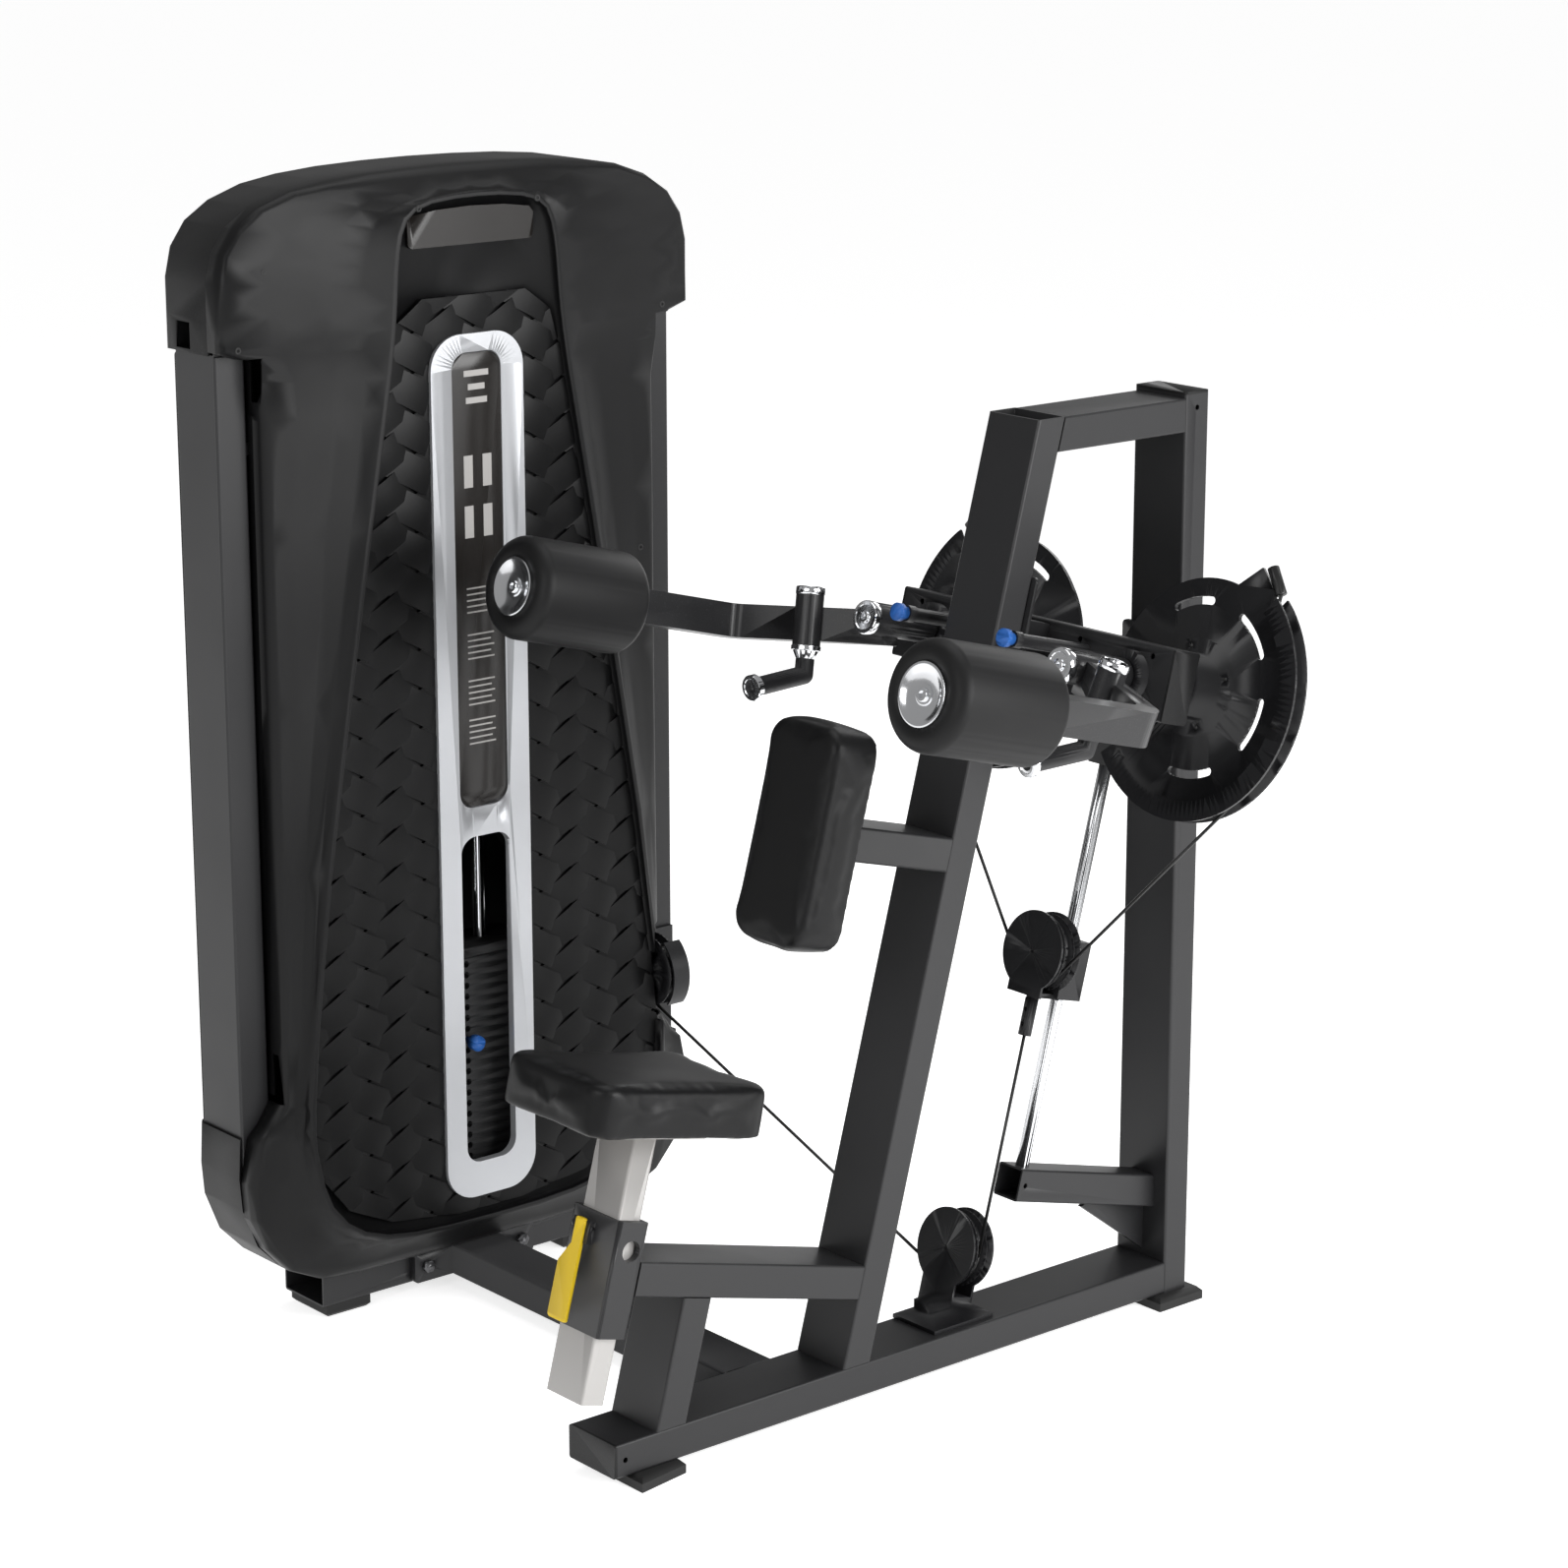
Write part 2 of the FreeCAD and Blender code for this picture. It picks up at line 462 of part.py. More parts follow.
parts["float_pulley"] = pulley(lv3(0, CABLE_V, FLOAT_W), PULLEY_AX)
parts["float_cable"] = lean(arc_tube((0, CABLE_V, FLOAT_W), (1, 0, 0), (0, 0, 1), PUL_PITCH,
                                     EX, -180 - EX, CABLE_R))
leave = math.radians(EX)
cam_end = (PIV_X + CAM_PITCH * math.cos(leave), 655, PIV_W + CAM_PITCH * math.sin(leave))
float_end = (PUL_PITCH * math.cos(leave), CABLE_V, FLOAT_W + PUL_PITCH * math.sin(leave))
GAP = 0.4                                    # clear of the cam's own length of cable
run_way = V(*float_end) - V(*cam_end)
run = bar(tuple(V(*cam_end) + run_way * (GAP / run_way.Length)), float_end, CABLE_R)
parts["run_cable_right"] = lean(run)
parts["run_cable_left"] = lean(mirror(run))

# base pulley on its bracket, cable from the float to it
def base_plate(va, vb):
    return fuse(rod(CHEEK_R, (BASE_X, va, BASE_W), (0, 1, 0), vb - va),
                box(BASE_X - 35, BASE_X + 35, va, vb, 240, BASE_W - 20))


bb = fuse(base_plate(643, 647), base_plate(681, 685), box(BASE_X - 35, BASE_X + 35, 643, 685, 205, 246),
          rod(8, (BASE_X, 647, BASE_W), (0, 1, 0), 34))
bb = bb.cut(rod(4, (BASE_X, 642, BASE_W), (0, 1, 0), 4))
bb = lean(bb).common(box(-300, 300, 300, 1000, TUBE_H, 400))
bb = fuse(bb, box(-52, 40, 600, 716, TUBE_H, TUBE_H + 6), box(-50, -16, 640, 700, TUBE_H, 70))
parts["base_bracket"] = bb
parts["base_pulley"] = pulley(lv3(BASE_X, CABLE_V, BASE_W), PULLEY_AX)
parts["drop_cable"] = lean(bar((0, CABLE_V, 651), (0, CABLE_V, BASE_W), CABLE_R))

# from the base pulley the cable climbs to the tower pulley and on over the two top pulleys
BETA = 25.0                                  # slope of the run from base pulley to tower pulley
off_x = PUL_PITCH * math.cos(math.radians(-90 - BETA))
off_z = PUL_PITCH * math.sin(math.radians(-90 - BETA))
base_arc = lean(arc_tube((BASE_X, CABLE_V, BASE_W), (1, 0, 0), (0, 0, 1), PUL_PITCH, 0, -90 - BETA, CABLE_R))
run_start = lv3(BASE_X + off_x, CABLE_V, BASE_W + off_z)
run_end = (TP_X + off_x, TP_Y, TP_Z + off_z)
tower_arc = arc_tube((TP_X, TP_Y, TP_Z), (1, 0, 0), (0, 0, 1), PUL_PITCH, -90 - BETA, -180, CABLE_R)
PB_Y, PA_Y, TOP_PZ = STACK_Y + PUL_PITCH, 600.0, 1400.0  # front and rear top pulley
climb_start = (TP_X - PUL_PITCH, TP_Y, TP_Z)
climb_end = (STACK_X, PA_Y + PUL_PITCH, TOP_PZ)
rear_arc = arc_tube((STACK_X, PA_Y, TOP_PZ), (0, 1, 0), (0, 0, 1), PUL_PITCH, 0, 90, CABLE_R)
front_arc = arc_tube((STACK_X, PB_Y, TOP_PZ), (0, 1, 0), (0, 0, 1), PUL_PITCH, 90, 180, CABLE_R)
crossing = bar((STACK_X, PA_Y, TOP_PZ + PUL_PITCH), (STACK_X, PB_Y, TOP_PZ + PUL_PITCH), CABLE_R)
parts["frame_cable"] = Part.makeCompound([base_arc, bar(run_start, run_end, CABLE_R), tower_arc,
                                          bar(climb_start, climb_end, CABLE_R), rear_arc, crossing, front_arc])

# ---------------------------------------------------------------- tower
TIE_Z0, TIE_Z1 = 1318.0, 1338.0              # cross tie that holds the rods' upper ends
base_tube = tube(POST_X0, POST_X1, FOOT_Y0, FOOT_Y1, 0, TUBE_H, "y")
for y in BOLT_YS:
    base_tube = base_tube.cut(rod(6.05, (POST_X1 - 11, y, BOLT_Z), (1, 0, 0), 30))
parts["tower_base"] = base_tube
tie = rbox(-788, -738, TOWER_Y0 + TUBE_H, TOWER_Y1 - TUBE_H, TIE_Z0, TIE_Z1, 3, "y")
for y, r in ((STACK_Y, 9), (STACK_Y - STACK_ROD_Y, 10.02), (STACK_Y + STACK_ROD_Y, 10.02), (650, 9)):
    tie = tie.cut(rod(r, (STACK_X, y, TIE_Z0 - 18), (0, 0, 1), 60))
parts["tower_frame"] = Part.makeCompound([
    tube(POST_X0, POST_X1, FOOT_Y0, FOOT_Y1, TUBE_H, 2 * TUBE_H, "y"),
    tube(POST_X0, POST_X1, FOOT_Y0, FOOT_Y0 + TUBE_H, 2 * TUBE_H, POST_Z0, "z"),
    tube(POST_X0, POST_X1, FOOT_Y1 - TUBE_H, FOOT_Y1, 2 * TUBE_H, POST_Z0, "z"),
    tube(POST_X0, POST_X1, TOWER_Y0 + 2, FOOT_Y0, POST_Z0 - TUBE_H, POST_Z0, "y"),
    tube(POST_X0, POST_X1, FOOT_Y1, TOWER_Y1 - 1, POST_Z0 - TUBE_H, POST_Z0, "y"),
    tube(POST_X0, POST_X1, TOWER_Y0, TOWER_Y0 + TUBE_H, POST_Z0, POST_Z1, "z"),
    tube(POST_X0, POST_X1, TOWER_Y1 - TUBE_H, TOWER_Y1, POST_Z0, POST_Z1, "z"),
    tube(POST_X0, POST_X1, TOWER_Y0, TOWER_Y1, POST_Z1, POST_Z1 + TUBE_H, "y"), tie])
FLANGE_X = -715.0                            # outer face of the joint plate
joint_plate = rbox(POST_X1, FLANGE_X, 207, 433, 2, 51, 6, "x")
bolts = []
for y in BOLT_YS:
    joint_plate = joint_plate.cut(rod(6.2, (POST_X1 - 6, y, BOLT_Z), (1, 0, 0), 30))
    hexagon = []
    for k in range(6):
        turn = math.radians(60 * k)
        hexagon.append((FLANGE_X, y + 10 * math.cos(turn), BOLT_Z + 10 * math.sin(turn)))
    bolts.append(fuse(rod(6, (POST_X1 - 3, y, BOLT_Z), (1, 0, 0), 26), slab(hexagon, 0, (8, 0, 0))))
parts["cross_rail"] = fuse(tube(FLANGE_X, -TUBE_X, 278, 364, 0, TUBE_H, "x"), joint_plate)
parts["joint_bolts"] = Part.makeCompound(bolts)

rods = []
for s in (-1, 1):
    y = STACK_Y + s * STACK_ROD_Y
    rods.append(rod(STACK_ROD_R, (STACK_X, y, 2 * TUBE_H), (0, 0, 1), TIE_Z1 - 2 * TUBE_H))
    bumper = rod(22, (STACK_X, y, 2 * TUBE_H), (0, 0, 1), PLATE_Z0 - PLATE_PITCH / 2 - 2 * TUBE_H)
    rods.append(bumper.cut(rod(STACK_ROD_R, (STACK_X, y, 90), (0, 0, 1), 120)))
parts["stack_rods"] = Part.makeCompound(rods)


def weight(i, top=False):
    z = PLATE_Z0 + PLATE_PITCH * i
    h0 = z - PLATE_PITCH / 2 + 0.15
    h1 = z + PLATE_PITCH / 2 - 0.15 + (1.5 if top else 0)
    p = rbox(-804, -722, STACK_Y - 120, STACK_Y + 120, h0, h1, 8, "z")
    for s in (-1, 1):
        p = p.cut(rod(10.6, (STACK_X, STACK_Y + s * STACK_ROD_Y, h0 - 1), (0, 0, 1), 30))
    if not top:
        p = p.cut(rod(13, (STACK_X, STACK_Y, h0 - 1), (0, 0, 1), 30))
    return p.cut(rod(5.2, (-775, STACK_Y, z), (1, 0, 0), 60))


parts["plates_resting"] = Part.makeCompound([weight(i) for i in range(LIFTED_FROM)])
parts["plates_lifted"] = Part.makeCompound([weight(i) for i in range(LIFTED_FROM, PLATE_N - 1)])
tp = weight(PLATE_N - 1, True)
zt = PLATE_Z0 + PLATE_PITCH * (PLATE_N - 1) + 10
stm = rod(11, (STACK_X, STACK_Y, 180), (0, 0, 1), zt - 180)
eye = rod(14, (STACK_X, STACK_Y, zt - 1), (0, 0, 1), 26)
tp = fuse(tp, stm, eye, rod(8, (STACK_X, STACK_Y, zt + 24), (0, 0, 1), 34))
for i in range(PLATE_N - 1):
    tp = tp.cut(rod(5.2, (-780, STACK_Y, PLATE_Z0 + PLATE_PITCH * i), (1, 0, 0), 40))
parts["top_plate"] = tp
zpin = PLATE_Z0 + PLATE_PITCH * LIFTED_FROM
parts["selector_pin"] = fuse(rod(4.7, (-773, STACK_Y, zpin), (1, 0, 0), 66),
                             rod(7, (-714, STACK_Y, zpin), (1, 0, 0), 8),
                             rod(12, (-707, STACK_Y, zpin), (1, 0, 0), 14))
parts["stack_cable"] = bar((STACK_X, STACK_Y, zt + 58), (STACK_X, STACK_Y, TOP_PZ), CABLE_R)

hanger = [rbox(STACK_X - 20, STACK_X - 15, 310, 660, 1372, POST_Z1 - 5.5, 10, "x"),
          rbox(STACK_X + 15, STACK_X + 20, 310, 660, 1372, POST_Z1 - 5.5, 10, "x"),
          box(STACK_X - 24, STACK_X + 24, 310, 660, POST_Z1 - 5.5, POST_Z1)]
for y in (PB_Y, PA_Y):
    hanger.append(rod(8, (STACK_X - 21, y, TOP_PZ), (1, 0, 0), 42))
parts["top_bracket"] = fuse(*hanger)
parts["top_pulley_front"] = pulley((STACK_X, PB_Y, TOP_PZ), (1, 0, 0))
parts["top_pulley_rear"] = pulley((STACK_X, PA_Y, TOP_PZ), (1, 0, 0))


def tower_sector(r0, r1, a0, a1, ya, yb):
    """part ring about the tower pulley's axis"""
    s = sector(r0, r1, a0, a1, ya, yb)
    s.translate(V(TP_X, 0, TP_Z))
    return s


parts["tower_bracket"] = fuse(
    box(POST_X1, POST_X1 + 6, 680, 724, 370, 478), rbox(POST_X1, TP_X + 24, 675, 681, 384, 464, 8, "y"),
    rod(8, (TP_X, TP_Y - 13, TP_Z), (0, 1, 0), 30), rod(12, (TP_X, TP_Y - 16, TP_Z), (0, 1, 0), 4.5),
    tower_sector(66, 69, 52, -42, TP_Y - 12, 681), tower_sector(10, 68, 50, 34, 675, 681),
    tower_sector(10, 68, -24, -42, 675, 681))
parts["tower_pulley"] = pulley((TP_X, TP_Y, TP_Z), (0, 1, 0))

# ---------------------------------------------------------------- covers
HALF_A = [(320, 1712), (240, 1711), (160, 1708), (90, 1702), (30, 1692), (-25, 1673), (-65, 1647), (-90, 1612),
          (-100, 1570), (-100, 1520), (-100, 1474), (-66, 1462), (-42, 1425), (-32, 1370), (-33, 1200),
          (-33, 950), (-34, 700), (-36, 450), (-40, 352), (-60, 322), (-80, 302), (-94, 235), (-90, 180),
          (-66, 128),
          (-28, 86), (26, 60), (90, 54), (200, 53), (320, 53)]
HALF_B = [(320, 1668), (280, 1667), (240, 1663), (212, 1655), (196, 1642), (187, 1622), (182, 1598), (179, 1573),
          (177, 1548), (175, 1522), (172, 1490), (168, 1460), (162, 1420), (154, 1375), (122, 1200),
          (78, 950), (36, 700), (4, 450), (-4, 352), (-5, 312), (-4, 285), (8, 225), (22, 190), (48, 158),
          (80, 136), (120, 122), (170, 114), (235, 110), (320, 109)]


def ring_pts(half, x, grow=0.0):
    """closed outline from one half, mirrored about the stack centre, pushed outwards by grow"""
    pts = []
    full = half + [(2 * STACK_Y - y, z) for y, z in half[-2:0:-1]]
    n = len(full)
    for i in range(n):
        (y0, z0), (y1, z1), (y2, z2) = full[i - 1], full[i], full[(i + 1) % n]
        ty, tz = y2 - y0, z2 - z0
        length = math.hypot(ty, tz)
        pts.append(V(x, y1 + tz / length * grow, z1 - ty / length * grow))
    return pts


def wire(pts):
    return Part.makePolygon(pts + [pts[0]])


# the wings flare forward from the flat rim to the lip round the panel
def between(f):
    return [(ya + (yb - ya) * f, za + (zb - za) * f) for (ya, za), (yb, zb) in zip(HALF_A, HALF_B)]


FLARE = ((0.3, -687.5), (0.6, -680.5), (0.82, -670.0))


def flare(rim_grow, wall):
    """solid wing body; wall sets it back for the hollow inside"""
    rims = [(HALF_A, SEAM_X - (1 if wall else 0), -wall), (HALF_A, -707, -wall), (HALF_A, -697, rim_grow + 6),
            (HALF_A, -691 - wall, rim_grow)]
    rims += [(between(f), x - wall, 0) for f, x in FLARE]
    rims += [(HALF_B, -656 - wall, 8 - wall), (HALF_B, -655 - wall, 5 - wall),
             (HALF_B, -655 - wall, 1 - wall / 4)]
    return loft([wire(ring_pts(half, x, grow)) for half, x, grow in rims])


def prism(half, x0, x1, grow):
    return loft([wire(ring_pts(half, x0, grow)), wire(ring_pts(half, x1, grow))])


RECESS_X = -678.0                            # face of the floor behind the woven panel
recess_wall = prism(HALF_B, RECESS_X - 3, -656, 3).cut(prism(HALF_B, RECESS_X - 12, -640, 0))
cover = flare(-9, 0).cut(flare(-12, COVER_WALL)).cut(prism(HALF_B, RECESS_X, -640, 0))
cover = cover.fuse([prism(HALF_B, RECESS_X - 3, RECESS_X, 2), recess_wall,
                    box(-815, -722, -33.2, -30, 360, 1455), box(-815, -722, 670, 673.2, 360, 1455)])
cover = cover.cut(box(-700, -600, 270, 370, 190, 716))
cover = cover.cut(box(-820, -600, 634, 700, 350, 500))
cover = cover.cut(box(-792, -734, -40, 680, TIE_Z0 - 3, TIE_Z1 + 3))
cover = cover.cut(box(-800, -600, -200, -33.5, 352, 1463)).cut(box(-800, -600, 673.5, 900, 352, 1463))
parts["front_cover"] = cover.removeSplitter()

# woven panel, the bezel round the window, and the two plates
SEATED_X = RECESS_X + 0.1                    # back of everything that sits in the recess
weave = loft([wire(ring_pts(HALF_B, SEATED_X, -12)), wire(ring_pts(HALF_B, -669, -14))])
weave = weave.common(box(-700, -600, -100, 800, 118, 1528))
parts["woven_panel"] = weave.cut(rbox(-700, -600, 236, 404, 139, 1470, 52, "x"))
bezel = rbox(SEATED_X, -664, 237, 403, 140, 1469, 52, "x")
bezel = bezel.cut(rbox(-690, -640, 274, 366, 195, 711, 26, "x"))
parts["bezel"] = bezel.cut(rbox(-670, -640, 274, 366, 755, 1442, 26, "x"))
placard = rbox(-669.9, -667.5, 276, 364, 757, 1440, 24, "x")
badge_ring = [(209, 1598), (431, 1598), (433, 1644), (380, 1651), (320, 1653), (260, 1651), (207, 1644)]
badge = slab([(SEATED_X, y, z) for y, z in badge_ring], [9, 9, 9, 0, 0, 0, 9], (5, 0, 0))
parts["placards"] = Part.makeCompound([placard, badge])

CAPH = HALF_A[:10] + [(-100, 1468)]
BOATH = [(-92.5, 302), (-96, 240), (-92, 190), (-68, 128), (-28, 86), (26, 60), (90, 54), (200, 53), (320, 53)]


def half_ring(half, x, grow):
    """outline of an open-ended moulding, closed straight across its open side"""
    pts = []
    for i, (y, z) in enumerate(half):
        before = half[max(i - 1, 0)]
        after = half[min(i + 1, len(half) - 1)]
        ty = after[0] - before[0]
        tz = after[1] - before[1]
        length = math.hypot(ty, tz)
        if y == STACK_Y:
            pts.append((y, z - math.copysign(1, ty) * grow))
        else:
            pts.append((y + tz / length * grow, z - ty / length * grow))
    pts += [(2 * STACK_Y - y, z) for y, z in reversed(pts)]
    kept = [p for i, p in enumerate(pts) if math.dist(p, pts[i - 1]) > 0.01]
    return wire([V(x, y, z) for y, z in kept])


def shell(half, room):
    """open-ended moulding from the seam to the rounded back; room is taken out of the hollow too"""
    outside = loft([half_ring(half, SEAM_X - 0.2, 0), half_ring(half, BACK_X + 13, 0),
                    half_ring(half, BACK_X, -9)])
    hollow = loft([half_ring(half, SEAM_X, -COVER_WALL), half_ring(half, BACK_X + 14, -COVER_WALL),
                   half_ring(half, BACK_X + COVER_WALL, -12)])
    return outside.cut(hollow.fuse(room) if room else hollow)


cap = shell(CAPH, box(-841, SEAM_X, TOWER_Y0 - 0.6, TOWER_Y1 + 0.6, 1400, 1480))
cap = cap.cut(box(-841, -720, -96, 736, 1440, 1500)).cut(box(-808, -772, -110, -90, 1473, 1511))
shroud = shell(BOATH, None)
shroud = shroud.cut(box(-834, -700, FOOT_Y0 - 1, FOOT_Y1 + 1, 0, 2 * TUBE_H + 1))
shroud = shroud.cut(box(-841, -720, TOWER_Y0 - 1, TOWER_Y1 + 1, 290, 320))
back_panel = rbox(POST_X0 - 4.3, POST_X0 - 0.3, TOWER_Y0 + 2, TOWER_Y1 - 1, POST_Z0 + 2, POST_Z1 - 2, 6, "x")
parts["rear_cover"] = Part.makeCompound([cap, shroud, back_panel])

# ---------------------------------------------------------------- caps and feet
CAP_T = 4.0                                  # cap thickness; a plug of the same wall fills the tube
rail_cap = rbox(-TUBE_X, TUBE_X, 0, CAP_T, 0, TUBE_H, 4, "y").fuse(box(-48, 48, CAP_T, 14, 4, 46))
upright_cap = rbox(-TUBE_X, TUBE_X, RAIL_L, RAIL_L + 48, UPRIGHT_TOP, UPRIGHT_TOP + CAP_T, 4, "z")
upright_cap = upright_cap.fuse(box(-48, 48, RAIL_L + 4, RAIL_L + 44, UPRIGHT_TOP - 10, UPRIGHT_TOP))
beam_cap = rbox(BEAM_X - CAP_T, BEAM_X, BEAM_V0, BEAM_V1, BEAM_W0, BEAM_W1, 4, "x")
plug = box(BEAM_X - 14, BEAM_X - CAP_T, BEAM_V0 + 4, BEAM_V1 - 4, BEAM_W0 + 4, BEAM_W1 - 4)
beam_cap = lean(beam_cap.fuse(plug))
parts["end_caps"] = Part.makeCompound([rail_cap, upright_cap, beam_cap, mirror(beam_cap)])
FOOT_T = 20.0
feet = []
for ring in ([(-74, 30, -FOOT_T), (74, 30, -FOOT_T), (60, 118, -FOOT_T), (-60, 118, -FOOT_T)],
             [(-68, 1040, -FOOT_T), (68, 1040, -FOOT_T), (68, 1132, -FOOT_T), (-68, 1132, -FOOT_T)]):
    foot = slab(ring, 0, (0, 0, FOOT_T))
    feet.append(foot.makeChamfer(7, [e for e in foot.Edges if e.BoundBox.ZMin > -0.01]))
for y in (55, 505):
    foot = box(POST_X0 + 4, POST_X1 - 4, y, y + 80, -FOOT_T, 0)
    feet.append(foot.makeChamfer(5, [e for e in foot.Edges if e.BoundBox.ZMax < -FOOT_T + 0.1]))
parts["feet"] = Part.makeCompound(feet)

# ---------------------------------------------------------------- save
for name, shape in parts.items():
    placed = shape.copy()
    placed.translate(V(OX, OY, OZ))
    placed.exportStep("parts/%s.step" % name)
    print("%-18s solids %2d valid %s" % (name, len(placed.Solids), placed.isValid()))
print(len(parts), "nodes")
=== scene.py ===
import json
import math

import bpy
from mathutils import Matrix, Vector

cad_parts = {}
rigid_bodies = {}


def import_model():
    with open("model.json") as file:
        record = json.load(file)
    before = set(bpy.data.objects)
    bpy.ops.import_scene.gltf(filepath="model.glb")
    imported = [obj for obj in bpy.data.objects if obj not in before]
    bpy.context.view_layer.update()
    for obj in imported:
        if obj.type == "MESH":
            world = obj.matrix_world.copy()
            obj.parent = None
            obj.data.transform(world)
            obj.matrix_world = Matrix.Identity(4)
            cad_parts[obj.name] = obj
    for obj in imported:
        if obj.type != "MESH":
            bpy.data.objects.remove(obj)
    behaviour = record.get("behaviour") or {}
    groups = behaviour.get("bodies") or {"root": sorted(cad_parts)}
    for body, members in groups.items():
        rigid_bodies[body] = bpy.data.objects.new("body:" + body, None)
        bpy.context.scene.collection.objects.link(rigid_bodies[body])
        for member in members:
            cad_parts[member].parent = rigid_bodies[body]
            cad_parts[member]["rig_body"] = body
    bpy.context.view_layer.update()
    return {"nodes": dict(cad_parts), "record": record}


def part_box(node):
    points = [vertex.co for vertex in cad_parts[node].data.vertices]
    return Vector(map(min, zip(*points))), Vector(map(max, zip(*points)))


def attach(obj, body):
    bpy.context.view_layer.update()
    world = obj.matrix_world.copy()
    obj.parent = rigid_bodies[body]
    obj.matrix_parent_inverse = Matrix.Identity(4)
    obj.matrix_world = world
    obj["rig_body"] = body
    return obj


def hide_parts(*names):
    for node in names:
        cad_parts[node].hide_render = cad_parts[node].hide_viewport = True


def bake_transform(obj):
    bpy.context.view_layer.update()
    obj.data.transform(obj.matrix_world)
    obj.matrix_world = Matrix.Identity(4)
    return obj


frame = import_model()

# Floor frame and tower frame: rectangular steel tube, saw-cut, welded and sprayed satin black.
# The paint has a fine orange peel and a slightly uneven gloss, and the tube corners are rounded.
nodes = frame["nodes"]
slots = {part["node"]: part["material_slot"] for part in frame["record"]["subparts"]}


def sprayed(name, colour, rough, peel=900.0, depth=0.00006, speckle=0.0, metallic=0.0, specular=0.35):
    """finish with a fine grain (scale peel, height depth), a cloudy gloss and, if asked, paler specks"""
    paint = bpy.data.materials.new(name)
    paint.use_nodes = True
    tree = paint.node_tree
    shader = tree.nodes["Principled BSDF"]
    shader.inputs["Base Color"].default_value = (*colour, 1)
    shader.inputs["Metallic"].default_value = metallic
    shader.inputs["Specular IOR Level"].default_value = specular
    place = tree.nodes.new("ShaderNodeTexCoord")
    grain = tree.nodes.new("ShaderNodeTexNoise")
    grain.inputs["Scale"].default_value = peel
    grain.inputs["Detail"].default_value = 3
    tree.links.new(place.outputs["Object"], grain.inputs["Vector"])
    bump = tree.nodes.new("ShaderNodeBump")
    bump.inputs["Strength"].default_value = 0.4
    bump.inputs["Distance"].default_value = depth
    tree.links.new(grain.outputs["Fac"], bump.inputs["Height"])
    tree.links.new(bump.outputs["Normal"], shader.inputs["Normal"])
    if speckle:
        light = tree.nodes.new("ShaderNodeMapRange")
        light.inputs["From Min"].default_value = 0.58
        light.inputs["From Max"].default_value = 0.78
        tree.links.new(grain.outputs["Fac"], light.inputs["Value"])
        mix = tree.nodes.new("ShaderNodeMix")
        mix.data_type = "RGBA"
        mix.inputs[6].default_value = (*colour, 1)
        mix.inputs[7].default_value = (*[min(1.0, c + speckle) for c in colour], 1)
        tree.links.new(light.outputs["Result"], mix.inputs[0])
        tree.links.new(mix.outputs[2], shader.inputs["Base Color"])
    cloud = tree.nodes.new("ShaderNodeTexNoise")
    cloud.inputs["Scale"].default_value = 7
    tree.links.new(place.outputs["Object"], cloud.inputs["Vector"])
    gloss = tree.nodes.new("ShaderNodeMapRange")
    gloss.inputs["To Min"].default_value = rough - 0.06
    gloss.inputs["To Max"].default_value = rough + 0.08
    tree.links.new(cloud.outputs["Fac"], gloss.inputs["Value"])
    tree.links.new(gloss.outputs["Result"], shader.inputs["Roughness"])
    return paint


def merged(node, name):
    """a free copy of a CAD node with its faces joined along their edges"""
    bpy.ops.object.select_all(action="DESELECT")
    piece = nodes[node].copy()
    piece.data = nodes[node].data.copy()
    piece.name = name
    for key in list(piece.keys()):
        del piece[key]
    piece.parent = None
    piece.data.materials.clear()
    bpy.context.collection.objects.link(piece)
    bpy.context.view_layer.objects.active = piece
    piece.select_set(True)
    bpy.ops.object.mode_set(mode="EDIT")
    bpy.ops.mesh.select_all(action="SELECT")
    bpy.ops.mesh.remove_doubles(threshold=0.000004)
    bpy.ops.object.mode_set(mode="OBJECT")
    return piece


def fitted(piece, paint, body, slot, *stands_for):
    """paint a piece and hang it on its body"""
    piece.data.materials.append(paint)
    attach(piece, body)
    if stands_for:
        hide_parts(*stands_for)
    return piece


def dressed(node, name, paint, smooth=32):
    """a CAD node kept in shape, smoothed below an angle and painted"""
    piece = merged(node, name)
    bpy.ops.object.shade_smooth_by_angle(angle=math.radians(smooth))
    return fitted(piece, paint, nodes[node]["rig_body"], slots[node], node)


satin_black = sprayed("satin black spray", (0.016, 0.016, 0.017), 0.38)
for node, name in (("main_rail", "main_rail_tube"), ("rear_upright", "rear_upright_tube"),
                   ("rod_bracket", "rod_bracket_arm"), ("cross_rail", "cross_rail_tube"),
                   ("tower_base", "tower_base_tube"), ("tower_frame", "tower_post_frame")):
    dressed(node, name, satin_black)

# Leaning column, seat frame, chest beam and axis beam: the same tube sprayed a shade lighter.
# Welded square to one another, so that the seat, pad and arm axes share one lean.
charcoal = sprayed("charcoal spray", (0.019, 0.019, 0.02), 0.36)
for node, name in (("inclined_upright", "leaning_column"), ("seat_frame", "seat_frame_tubes"),
                   ("chest_beam", "chest_pad_beam"), ("pivot_support", "axis_beam_support"),
                   ("pivot_beam", "axis_beam"), ("seat_sleeve", "seat_post_sleeve")):
    dressed(node, name, charcoal)

# Rods: ground round bar, hard-chromed, the long one guiding the floating pulley block.
# The two in the tower guide the weight plates.
chrome = sprayed("hard chrome", (0.8, 0.81, 0.83), 0.12, peel=200, depth=0.000002, metallic=1.0)
dressed("guide_rod", "float_guide_rod", chrome)
dressed("stack_rods", "stack_guide_rods", chrome)

